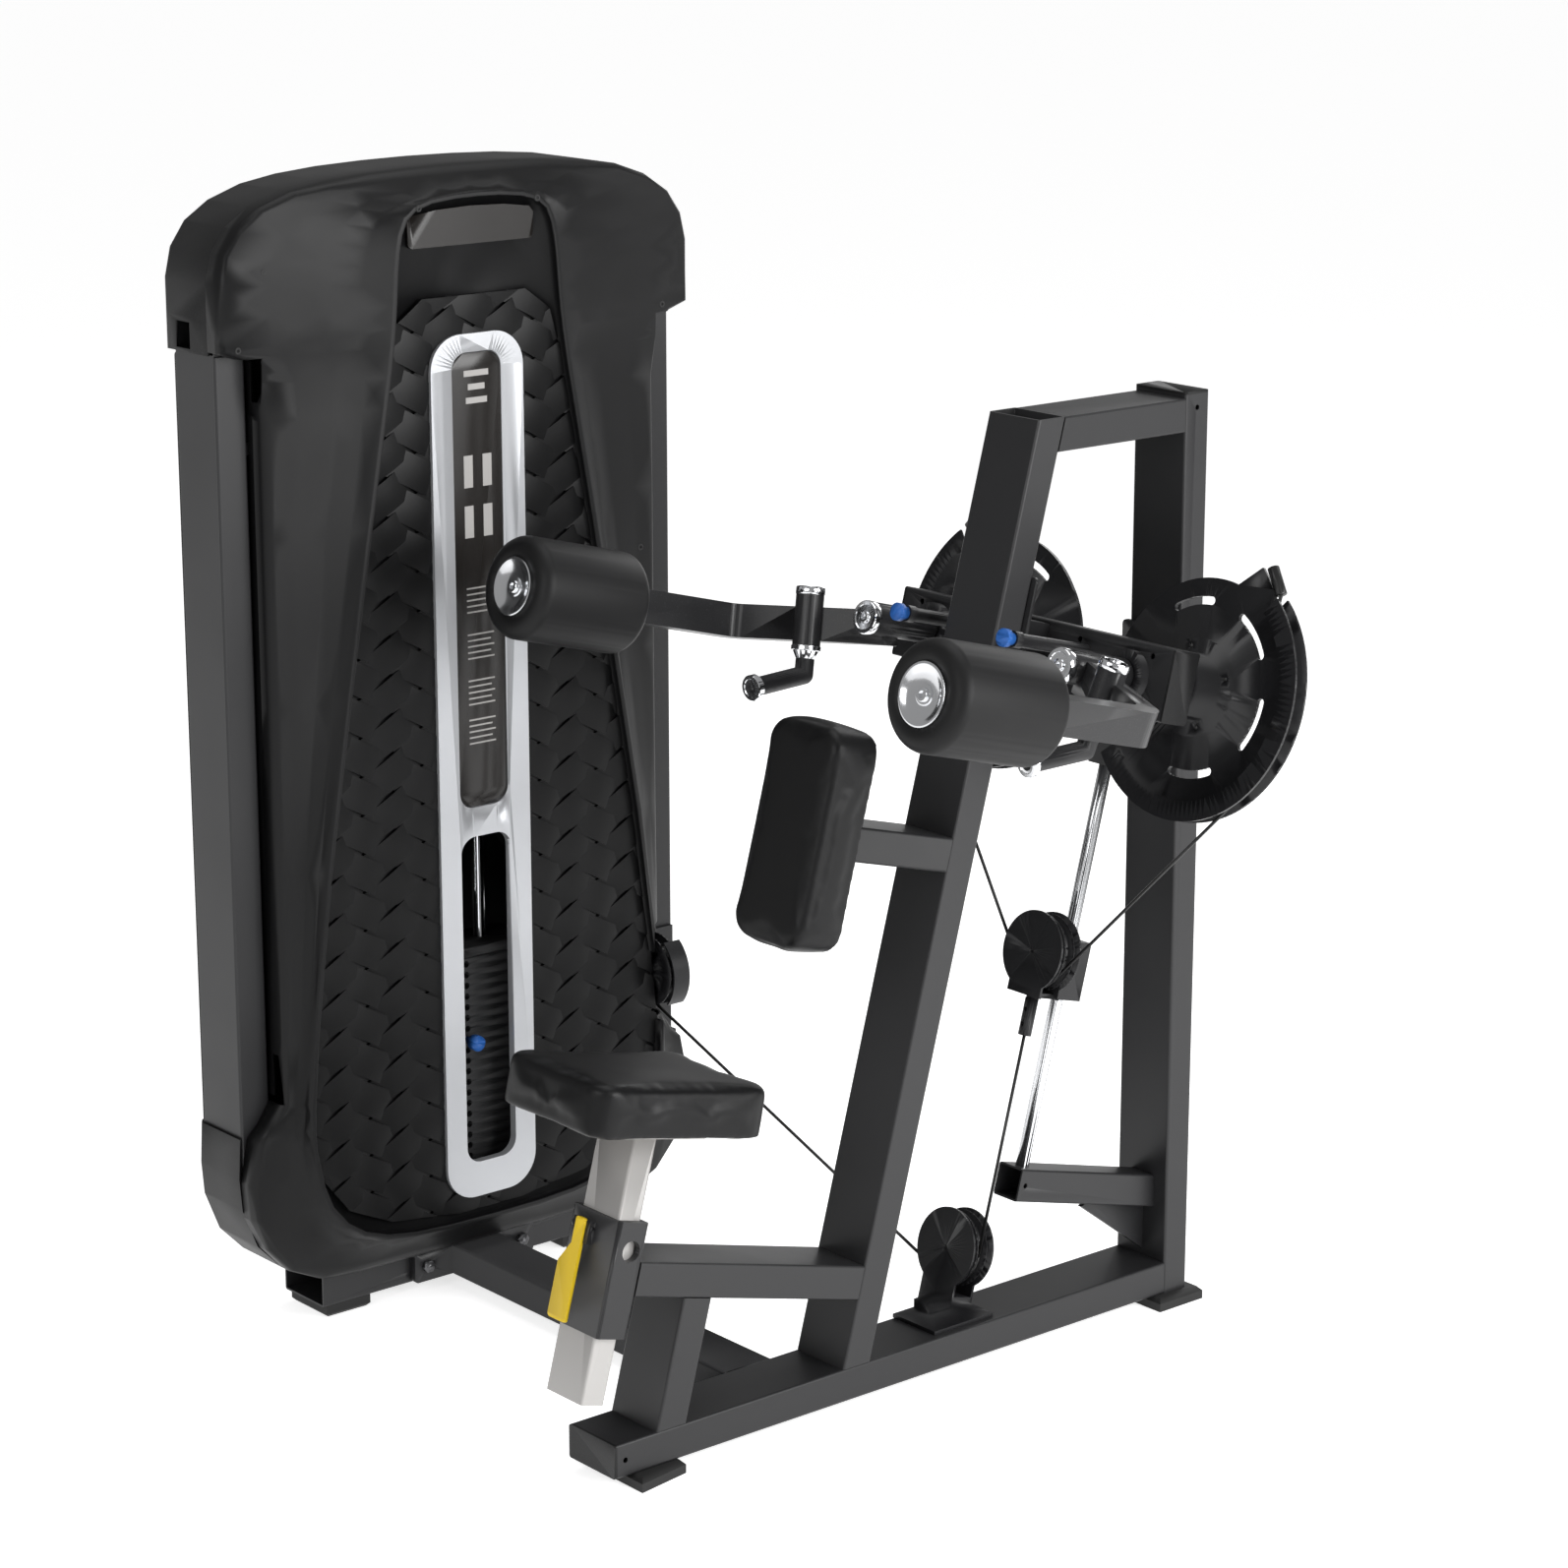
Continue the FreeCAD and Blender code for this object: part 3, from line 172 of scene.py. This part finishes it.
# Flat steel work: laser-cut plate and turned housings in the same black, a little glossier.
# Bearings are pressed through the axis beam; the brackets bolt to the rail and the tower.
plate_black = sprayed("plate black spray", (0.009, 0.009, 0.01), 0.34, peel=500, depth=0.00008)
for node, name in (("pivot_bearings", "axis_bearings"), ("cam_right", "right_cam"), ("cam_left", "left_cam"),
                   ("base_bracket", "base_pulley_bracket"), ("tower_bracket", "tower_pulley_bracket"),
                   ("top_bracket", "top_pulley_bracket"), ("float_block", "float_pulley_block")):
    dressed(node, name, plate_black)

# Arms: heavy flat-oval bar bent once, welded to a turned hub, in a speckled hammer finish.
# Chrome caps close the hub and the grip sleeve.
hammer = sprayed("hammer finish", (0.014, 0.014, 0.015), 0.32, peel=520, depth=0.00012, speckle=0.025)
for side in ("right", "left"):
    dressed("arm_" + side, side + "_arm_bar", hammer)

# Bright trim on the arms: turned and polished caps that close the hub, the grip sleeve and the roller.
# Each has a socket screw in its middle, and the roller's cap is dished.
lean = math.radians(15)
droop = math.radians(10)
mirrors = {"right": 1, "left": -1}
hub_cap = [(24.5, 0), (25.1, 1), (25.1, 11), (23.8, 13.2), (19, 13.4), (18, 12.2), (9.5, 11.8), (9, 14.2),
           (7.8, 14.8), (4.5, 14.8), (4.2, 11)]
sleeve_cap = [(21.5, 0), (22.2, 1), (22.2, 10), (21.2, 11.8), (17, 12), (16, 11.2), (8, 10.8), (7.5, 12.8),
              (6.2, 13.4), (3.5, 13.4), (3.3, 11)]
roller_cap = [(39.8, 0), (39.8, 5), (42.5, 5.3), (42.5, 6.6), (40.5, 7.4), (38.5, 7), (33, 4.2), (26, 2.2),
              (18, 1.1), (14.5, 1), (14.3, 2.4), (12.5, 2.8), (9.5, 2.8), (9.3, 5.8), (8.5, 6.4), (5, 6.4),
              (4.8, 3.4)]
axis_x, axis_w = 203, 1210
grip_p, grip_v = 109, 359
row_x, row_y, row_z = 168.15, -516, 20


def arm_point(p, v, q, mirror):
    """millimetres out from the arm's axis, along it and up from it, to the row frame"""
    x = axis_x + p * math.cos(droop) + q * math.sin(droop)
    w = axis_w - p * math.sin(droop) + q * math.cos(droop)
    y = v * math.cos(lean) + w * math.sin(lean)
    z = w * math.cos(lean) - v * math.sin(lean)
    return Vector((mirror * x + row_x, y + row_y, z + row_z)) / 1000


def turned(name, at, aim, profile):
    """solid of revolution from (radius, height) pairs in millimetres, its base at a point, facing aim"""
    bpy.ops.object.select_all(action="DESELECT")
    radius, height = profile[0]
    bpy.ops.mesh.primitive_circle_add(vertices=48, radius=radius / 1000, fill_type="NGON")
    piece = bpy.context.object
    piece.name = name
    bpy.ops.object.mode_set(mode="EDIT")
    bpy.ops.mesh.select_all(action="SELECT")
    for ring, level in profile[1:]:
        bpy.ops.mesh.extrude_region_move(TRANSFORM_OT_translate={"value": (0, 0, (level - height) / 1000)})
        bpy.ops.transform.resize(value=(ring / radius, ring / radius, 1))
        radius, height = ring, level
    bpy.ops.mesh.select_all(action="SELECT")
    bpy.ops.mesh.normals_make_consistent(inside=False)
    bpy.ops.object.mode_set(mode="OBJECT")
    bpy.ops.object.shade_smooth_by_angle(angle=math.radians(35))
    turn = aim.to_track_quat("Z", "Y").to_matrix().to_4x4()
    piece.data.transform(Matrix.Translation(at) @ turn)
    return piece


for side, mirror in mirrors.items():
    front = arm_point(0, 0, 0, mirror) - arm_point(0, 1, 0, mirror)
    up = arm_point(0, 0, 1, mirror) - arm_point(0, 0, 0, mirror)
    cap = turned(side + "_hub_cap", arm_point(0, 382, 0, mirror), front, hub_cap)
    fitted(cap, chrome, "arm_" + side, "chrome", "arm_trim_" + side)
    cap = turned(side + "_sleeve_cap", arm_point(grip_p, grip_v, 32, mirror), up, sleeve_cap)
    fitted(cap, chrome, "arm_" + side, "chrome")
    cap = turned(side + "_roller_cap", arm_point(236, -90.2, -10, mirror), front, roller_cap)
    fitted(cap, chrome, "arm_" + side, "chrome")

# Rollers: dense black foam moulded with rounded ends, free to turn on the arm's axle.
# The skin is matt with a very fine grain.
foam = sprayed("roller foam skin", (0.006, 0.006, 0.0063), 0.48, peel=1400, depth=0.00006, specular=0.2)
for side in ("right", "left"):
    roller = dressed("roller_" + side, side + "_foam_roller", foam, 50)

# Hand grips: bent round bar under a rubber sleeve, swivelling in the arm's sleeve.
# A turned collar under the sleeve and a cap on the bar's end are polished.
grip_rubber = sprayed("grip rubber", (0.01, 0.01, 0.011), 0.48, peel=700, depth=0.00004)
grip_tilt = math.radians(17)
elbow_q, grip_length = -86, 95.5
collar = [(22.4, 0), (22.6, 1), (22.6, 6.5), (19.5, 7.2), (19.3, 8), (14.3, 18.6), (14.1, 18.8)]
bar_cap = [(15, 0), (19.4, 0.5), (19.4, 9), (18.4, 10.4), (14, 10.4), (13, 9.6), (6.2, 9.4), (5.8, 6)]
for side, mirror in mirrors.items():
    dressed("grip_" + side, side + "_hand_grip", grip_rubber)
    down = arm_point(0, 0, 0, mirror) - arm_point(0, 0, 1, mirror)
    ring = turned(side + "_grip_collar", arm_point(grip_p, grip_v, -43.5, mirror), down, collar)
    fitted(ring, chrome, "grip_" + side, "chrome")
    elbow = arm_point(grip_p, grip_v, elbow_q, mirror)
    one_on = (grip_v - math.cos(grip_tilt), elbow_q - math.sin(grip_tilt))
    along = arm_point(grip_p, *one_on, mirror) - elbow
    cap = turned(side + "_grip_end_cap", elbow + along * grip_length, along, bar_cap)
    fitted(cap, chrome, "grip_" + side, "chrome")

# Spring pins: pins pulled by blue moulded knobs, one beside each arm hub.
# Each slides in a barrel welded through the axis beam.
knob_blue = sprayed("knob blue", (0.018, 0.10, 0.36), 0.4, peel=300, depth=0.00002)
for side in ("right", "left"):
    dressed("pop_pin_" + side, side + "_spring_pin", knob_blue)

# Pads: board and dense foam wrapped in black grained vinyl, stapled at the back.
# The foam crowns the face a little, and the cover is drawn tight round the edges.
vinyl = sprayed("pad vinyl", (0.004, 0.004, 0.0043), 0.4, peel=1300, depth=0.00012, specular=0.2)


voxel, pressure, settle_frames = 0.005, 4, 20


def stuffed(node, name, tuck, cap):
    """a cushion drawn in by tuck, then blown up as cloth by no more than cap"""
    pad = merged(node, name)
    bpy.ops.object.mode_set(mode="EDIT")
    bpy.ops.mesh.select_all(action="SELECT")
    bpy.ops.transform.shrink_fatten(value=-tuck)
    bpy.ops.object.mode_set(mode="OBJECT")
    pad.data.remesh_voxel_size = voxel
    bpy.ops.object.voxel_remesh()
    start = [v.co.copy() for v in pad.data.vertices]
    cloth = pad.modifiers.new("Cloth", "CLOTH")
    cloth.settings.use_pressure = True
    cloth.settings.uniform_pressure_force = pressure
    cloth.settings.effector_weights.gravity = 0
    for step in range(1, settle_frames + 1):
        bpy.context.scene.frame_set(step)
    bpy.ops.object.modifier_apply(modifier=cloth.name)
    for v, rest in zip(pad.data.vertices, start):
        move = v.co - rest
        if move.length > cap:
            v.co = rest + move.normalized() * cap
    bpy.context.scene.frame_set(1)
    ease = pad.modifiers.new("Smooth", "SMOOTH")
    ease.iterations = 6
    bpy.ops.object.modifier_apply(modifier=ease.name)
    smooth = pad.modifiers.new("Subdivision", "SUBSURF")
    smooth.levels = 1
    smooth.render_levels = 1
    bpy.ops.object.modifier_apply(modifier=smooth.name)
    bpy.ops.object.shade_smooth()
    fitted(pad, vinyl, nodes[node]["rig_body"], slots[node], node)


stuffed("chest_pad", "chest_pad_cushion", 0.0015, 0.003)
stuffed("seat_pad", "seat_pad_cushion", 0.002, 0.004)

# Seat post: bare brushed steel box tube with the pad plate welded on top.
# It slides in the sleeve.
post_steel = sprayed("bare post steel", (0.4, 0.39, 0.38), 0.36, peel=60, depth=0.00002, metallic=0.35)
dressed("seat_post", "seat_post_tube", post_steel)

# Seat lever: flat plate with yellow powder coat.
# It hangs on a pin between two ears and is sprung against the sleeve's front.
lever_yellow = sprayed("lever yellow", (0.62, 0.43, 0.01), 0.45, peel=600, depth=0.0001)
dressed("seat_lever", "yellow_seat_lever", lever_yellow)

# Cables: steel rope in a smooth black jacket.
# They run from each cam to the float, down to the base pulley and up the tower to the stack.
# The straight runs change length as the float and the stack rise; here each is baked where it stands and
# hangs on no body.
jacket = sprayed("cable jacket", (0.006, 0.006, 0.006), 0.32)
for node in ("frame_cable", "float_cable", "cam_cable_right", "cam_cable_left"):
    dressed(node, node + "_jacket", jacket, 60)


def strung(node):
    """a straight run from the frame to a moving body, merged, painted and baked in place on no body"""
    run = merged(node, node + "_jacket")
    bpy.ops.object.shade_smooth_by_angle(angle=math.radians(60))
    run.data.materials.append(jacket)
    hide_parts(node)
    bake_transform(run)


for node in ("run_cable_right", "run_cable_left"):
    strung(node)
strung("drop_cable")
strung("stack_cable")

# Pulleys: grooved wheels moulded in black nylon, with spokes, on plain pins.
# One floats between the arms, one sits on the rail and three are on the tower.
nylon = sprayed("pulley nylon", (0.008, 0.008, 0.009), 0.42)
for node in ("float_pulley", "base_pulley", "tower_pulley", "top_pulley_front", "top_pulley_rear"):
    dressed(node, node + "_wheel", nylon)

# Weight stack: painted iron plates with drilled fronts, a turned stem and a pin with a blue knob.
# The bolts of the joint between rail and tower are black zinc.
iron = sprayed("plate iron paint", (0.016, 0.016, 0.017), 0.5)
dressed("plates_resting", "resting_plates", iron)
dressed("plates_lifted", "lifted_plates", iron)
dressed("top_plate", "top_plate_and_stem", iron)
dressed("selector_pin", "selector_pin_and_knob", knob_blue)
zinc = sprayed("black zinc", (0.12, 0.12, 0.125), 0.35, metallic=0.8)
dressed("joint_bolts", "joint_plate_bolts", zinc)

# Tower covers: thick moulded plastic, satin front with flared wings and a finely textured back.
# The end caps of the tubes are the same textured plastic, and the feet are rubber.
cover_plastic = sprayed("satin cover plastic", (0.003, 0.003, 0.0033), 0.42, peel=1600, depth=0.00003,
                        specular=0.22)
cover_smooth = 42
dressed("front_cover", "tower_front_cover", cover_plastic, cover_smooth)
rear_plastic = sprayed("textured rear plastic", (0.006, 0.006, 0.0063), 0.46, peel=900, depth=0.00012,
                       speckle=0.025, specular=0.25)
dressed("rear_cover", "tower_rear_cover", rear_plastic, cover_smooth)
rubber_black = sprayed("moulded black rubber", (0.010, 0.010, 0.010), 0.6)
dressed("end_caps", "tube_end_caps", rear_plastic)
dressed("feet", "foot_pads", rubber_black)

# Cover screws: small black socket screws, turned, set into the front cover's face.
# Each stands for the fixing of the cover to a bracket on the post behind it.
screw_head = [(5.2, 0), (5.2, 1.6), (4.4, 2.2), (2.4, 2.2), (2.2, 0.6)]
screw_places = [(-0.5220, -0.5435, 1.604), (-0.5235, -0.5887, 1.4972), (-0.4882, -0.089, 1.6779),
                (-0.5225, 0.1693, 1.4954), (-0.5215, 0.1227, 1.1262), (-0.4882, -0.300, 1.6779)]
for number, place in enumerate(screw_places):
    screw = turned("cover_screw_%d" % number, Vector(place), Vector((1, 0, 0)), screw_head)
    fitted(screw, rubber_black, "frame", "cover_plastic")

# Woven panel: one moulding that imitates wide flat straps plaited on the slant.
# Each strap rises over one neighbour and dips under the next; the whole is clipped to the panel outline.
weave_plastic = sprayed("woven panel plastic", (0.0018, 0.0018, 0.002), 0.36, peel=1300, depth=0.00008,
                        specular=0.18)
panel_low, panel_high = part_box("woven_panel")
bezel_low, bezel_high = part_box("bezel")
strap_step_y = 0.054
strap_step_z = 0.0293
strap_slope = math.atan2(strap_step_z, strap_step_y)
strap_length, strap_width, strap_thick = 0.098, 0.047, 0.0035
strap_rise, strap_crown = 0.0058, 0.0008
strap_reach = 0.06
panel_back = panel_low[0] + 0.0008


def strap_tile(name, turn):
    """one visible length of strap, humped along its length and crowned across it"""
    bpy.ops.object.select_all(action="DESELECT")
    bpy.ops.mesh.primitive_grid_add(x_subdivisions=8, y_subdivisions=4, size=1)
    tile = bpy.context.object
    tile.name = name
    for v in tile.data.vertices:
        along, across = v.co.x * 2, v.co.y * 2
        rise = strap_rise * math.cos(along * math.pi / 2) ** 0.8 if abs(along) < 1 else 0.0
        rise += strap_crown * (1 - across * across)
        y, z = v.co.x * strap_length, v.co.y * strap_width
        v.co = (rise, y * math.cos(turn) - z * math.sin(turn), y * math.sin(turn) + z * math.cos(turn))
    bpy.ops.object.mode_set(mode="EDIT")
    bpy.ops.mesh.select_all(action="SELECT")
    bpy.ops.mesh.extrude_region_move(TRANSFORM_OT_translate={"value": (-strap_thick, 0, 0)})
    bpy.ops.mesh.select_all(action="SELECT")
    bpy.ops.mesh.normals_make_consistent(inside=False)
    bpy.ops.object.mode_set(mode="OBJECT")
    return tile


def plaited(name, clips):
    """a field of straps cut off along each clip, a point and the direction that is taken away"""
    rising = strap_tile("rising strap", strap_slope)
    falling = strap_tile("falling strap", -strap_slope)
    copies = []
    middle = (panel_low[1] + panel_high[1]) / 2
    for i in range(-7, 8):
        for j in range(0, 52):
            if (i + j) % 2:
                continue
            y = middle + i * strap_step_y
            z = panel_low[2] - 0.02 + j * strap_step_z
            centre = Vector((panel_back, y, z))
            if any((centre - Vector(at)).dot(Vector(out)) > strap_reach for at, out in clips):
                continue
            source = rising if i % 2 else falling
            copy = source.copy()
            copy.data = source.data.copy()
            bpy.context.collection.objects.link(copy)
            copy.data.transform(Matrix.Translation((panel_back + 0.0025, y, z)))
            copies.append(copy)
    bpy.data.objects.remove(rising)
    bpy.data.objects.remove(falling)
    bpy.ops.object.select_all(action="DESELECT")
    for copy in copies:
        copy.select_set(True)
    straps = copies[0]
    bpy.context.view_layer.objects.active = straps
    bpy.ops.object.join()
    straps.name = name
    bpy.ops.object.mode_set(mode="EDIT")
    for at, out in clips:
        bpy.ops.mesh.select_all(action="SELECT")
        bpy.ops.mesh.bisect(plane_co=at, plane_no=out, use_fill=True, clear_outer=True)
    bpy.ops.object.mode_set(mode="OBJECT")
    bpy.ops.object.shade_smooth_by_angle(angle=math.radians(40))
    return straps


edge = [(-0.289, 1.545), (-0.333, 1.513), (-0.361, 1.417), (-0.413, 1.135), (-0.465, 0.850), (-0.504, 0.558),
        (-0.525, 0.364), (-0.503, 0.251), (-0.456, 0.190), (-0.381, 0.155), (-0.254, 0.138)]
mid_y = -0.196


def outline_clips():
    """the panel's outline, its front half listed and its rear half mirrored about the middle"""
    clips = [((panel_back, mid_y, edge[0][1]), (0, 0, 1)), ((panel_back, mid_y, edge[-1][1]), (0, 0, -1))]
    for (y0, z0), (y1, z1) in zip(edge, edge[1:]):
        out = Vector((0, z1 - z0, -(y1 - y0))).normalized()
        clips.append(((panel_back, y0, z0), tuple(out)))
        clips.append(((panel_back, 2 * mid_y - y0, z0), (0, -out.y, out.z)))
    return clips


bezel_lap_y, bezel_lap_z = 0.016, 0.02
window_front = (panel_back, bezel_low[1] + bezel_lap_y, 0)
window_rear = (panel_back, bezel_high[1] - bezel_lap_y, 0)
window_foot = (panel_back, 0, bezel_low[2] + bezel_lap_z)
window_head = (panel_back, 0, bezel_high[2] - bezel_lap_z)
between = [(window_front, (0, -1, 0)), (window_rear, (0, 1, 0))]
all_clips = outline_clips()
for name, extra in (("woven_panel_front_half", [(window_front, (0, 1, 0))]),
                    ("woven_panel_rear_half", [(window_rear, (0, -1, 0))]),
                    ("woven_panel_head", between + [(window_head, (0, 0, -1))]),
                    ("woven_panel_foot", between + [(window_foot, (0, 0, 1))])):
    straps = plaited(name, all_clips + extra)
    stands_for = ["woven_panel"] if "front" in name else []
    fitted(straps, weave_plastic, "frame", "weave_plastic", *stands_for)

# Bezel, placard and badge: a silver moulded ring, a dark printed strip and a plain dark plate.
# The strip carries rows of plain pale bars, and the badge is bare.
silver = sprayed("silver bezel paint", (0.5, 0.51, 0.53), 0.34, metallic=0.7)
dressed("bezel", "silver_bezel", silver)
placard_dark = sprayed("placard print", (0.012, 0.0105, 0.0095), 0.22)
dressed("placards", "placard_and_badge", placard_dark)
print_pale = sprayed("pale print", (0.32, 0.31, 0.3), 0.5)
strip_face, strip_mid, bar_thick = -499.25, -196, 0.0004


def flat_bar(y, z, wide, tall):
    """a thin bar on the strip's face, in millimetres"""
    bpy.ops.mesh.primitive_cube_add(size=1)
    bar = bpy.context.object
    bar.data.transform(Matrix.Diagonal((bar_thick, wide / 1000, tall / 1000, 1)))
    bar.data.transform(Matrix.Translation(Vector((strip_face, y, z)) / 1000))
    return bar


def joined(bars, name):
    bpy.ops.object.select_all(action="DESELECT")
    for bar in bars:
        bar.select_set(True)
    bpy.context.view_layer.objects.active = bars[0]
    bpy.ops.object.join()
    bars[0].name = name
    return bars[0]


bpy.ops.object.select_all(action="DESELECT")
marks = []
for row, wide in enumerate((44, 30, 38)):
    marks.append(flat_bar(strip_mid, 1430 - 20 * row, wide, 9))
for block_top in (1110, 1040, 970, 910):
    for row in range(5):
        marks.append(flat_bar(strip_mid - 3 * (row % 2), block_top - 9 * row, 48 - 6 * (row % 2), 2.4))
for block_mid in (1210, 1285):
    for side_step in (-17, 17):
        marks.append(flat_bar(strip_mid + side_step, block_mid, 16, 48))
fitted(joined(marks, "placard_print"), print_pale, "frame", "placard")

# Studio: a plain pale floor, soft light from large panels and a camera at the front right.
# The surroundings light the object softly and show as white behind it.
bpy.ops.object.select_all(action="DESELECT")
bpy.ops.mesh.primitive_plane_add(size=60, location=(0, 0, 0))
floor = bpy.context.object
floor.name = "studio floor"
floor_white = bpy.data.materials.new("floor white")
floor_white.use_nodes = True
floor_inputs = floor_white.node_tree.nodes["Principled BSDF"].inputs
floor_inputs["Base Color"].default_value = (0.86, 0.86, 0.86, 1)
floor_inputs["Roughness"].default_value = 0.9
floor_inputs["Emission Color"].default_value = (1, 1, 1, 1)
floor_inputs["Emission Strength"].default_value = 0.7
floor.data.materials.append(floor_white)

world = bpy.data.worlds.new("studio")
bpy.context.scene.world = world
world.use_nodes = True
sky = world.node_tree
sky.nodes["Background"].inputs["Color"].default_value = (1, 1, 1, 1)
sky.nodes["Background"].inputs["Strength"].default_value = 0.32
backdrop = sky.nodes.new("ShaderNodeBackground")
backdrop.inputs["Color"].default_value = (1, 1, 1, 1)
seen = sky.nodes.new("ShaderNodeLightPath")
choice = sky.nodes.new("ShaderNodeMixShader")
sky.links.new(seen.outputs["Is Camera Ray"], choice.inputs[0])
sky.links.new(sky.nodes["Background"].outputs[0], choice.inputs[1])
sky.links.new(backdrop.outputs[0], choice.inputs[2])
sky.links.new(choice.outputs[0], sky.nodes["World Output"].inputs["Surface"])


def soft_light(name, place, aim, width, height, watts):
    """a rectangular panel light pointed at aim"""
    data = bpy.data.lights.new(name, "AREA")
    data.shape = "RECTANGLE"
    data.size = width
    data.size_y = height
    data.energy = watts
    lamp = bpy.data.objects.new(name, data)
    bpy.context.collection.objects.link(lamp)
    lamp.location = place
    lamp.rotation_euler = (Vector(aim) - Vector(place)).to_track_quat("-Z", "Y").to_euler()


soft_light("side panel", (4.5, 1.2, 2.2), (0, 0.1, 0.8), 3.5, 2.5, 260)
soft_light("front panel", (1.2, -4.6, 3.0), (0, 0, 0.8), 3.0, 2.0, 70)
soft_light("overhead panel", (0.0, 0.4, 4.6), (0, 0, 0), 3.0, 3.0, 60)
soft_light("back panel", (-1.4, 4.6, 2.6), (0, 0, 0.8), 3.0, 2.0, 60)

camera_data = bpy.data.cameras.new("camera")
camera_data.sensor_width = 36
camera_data.lens = 93.84
camera_data.clip_end = 100
camera = bpy.data.objects.new("camera", camera_data)
bpy.context.collection.objects.link(camera)
camera.location = (4.32465, -3.6762, 2.3596)
camera_pitch, camera_yaw = 14.655, 49.85
camera.rotation_euler = (math.radians(90 - camera_pitch), 0, math.radians(camera_yaw))
bpy.context.scene.camera = camera
bpy.context.scene.view_settings.view_transform = "Standard"
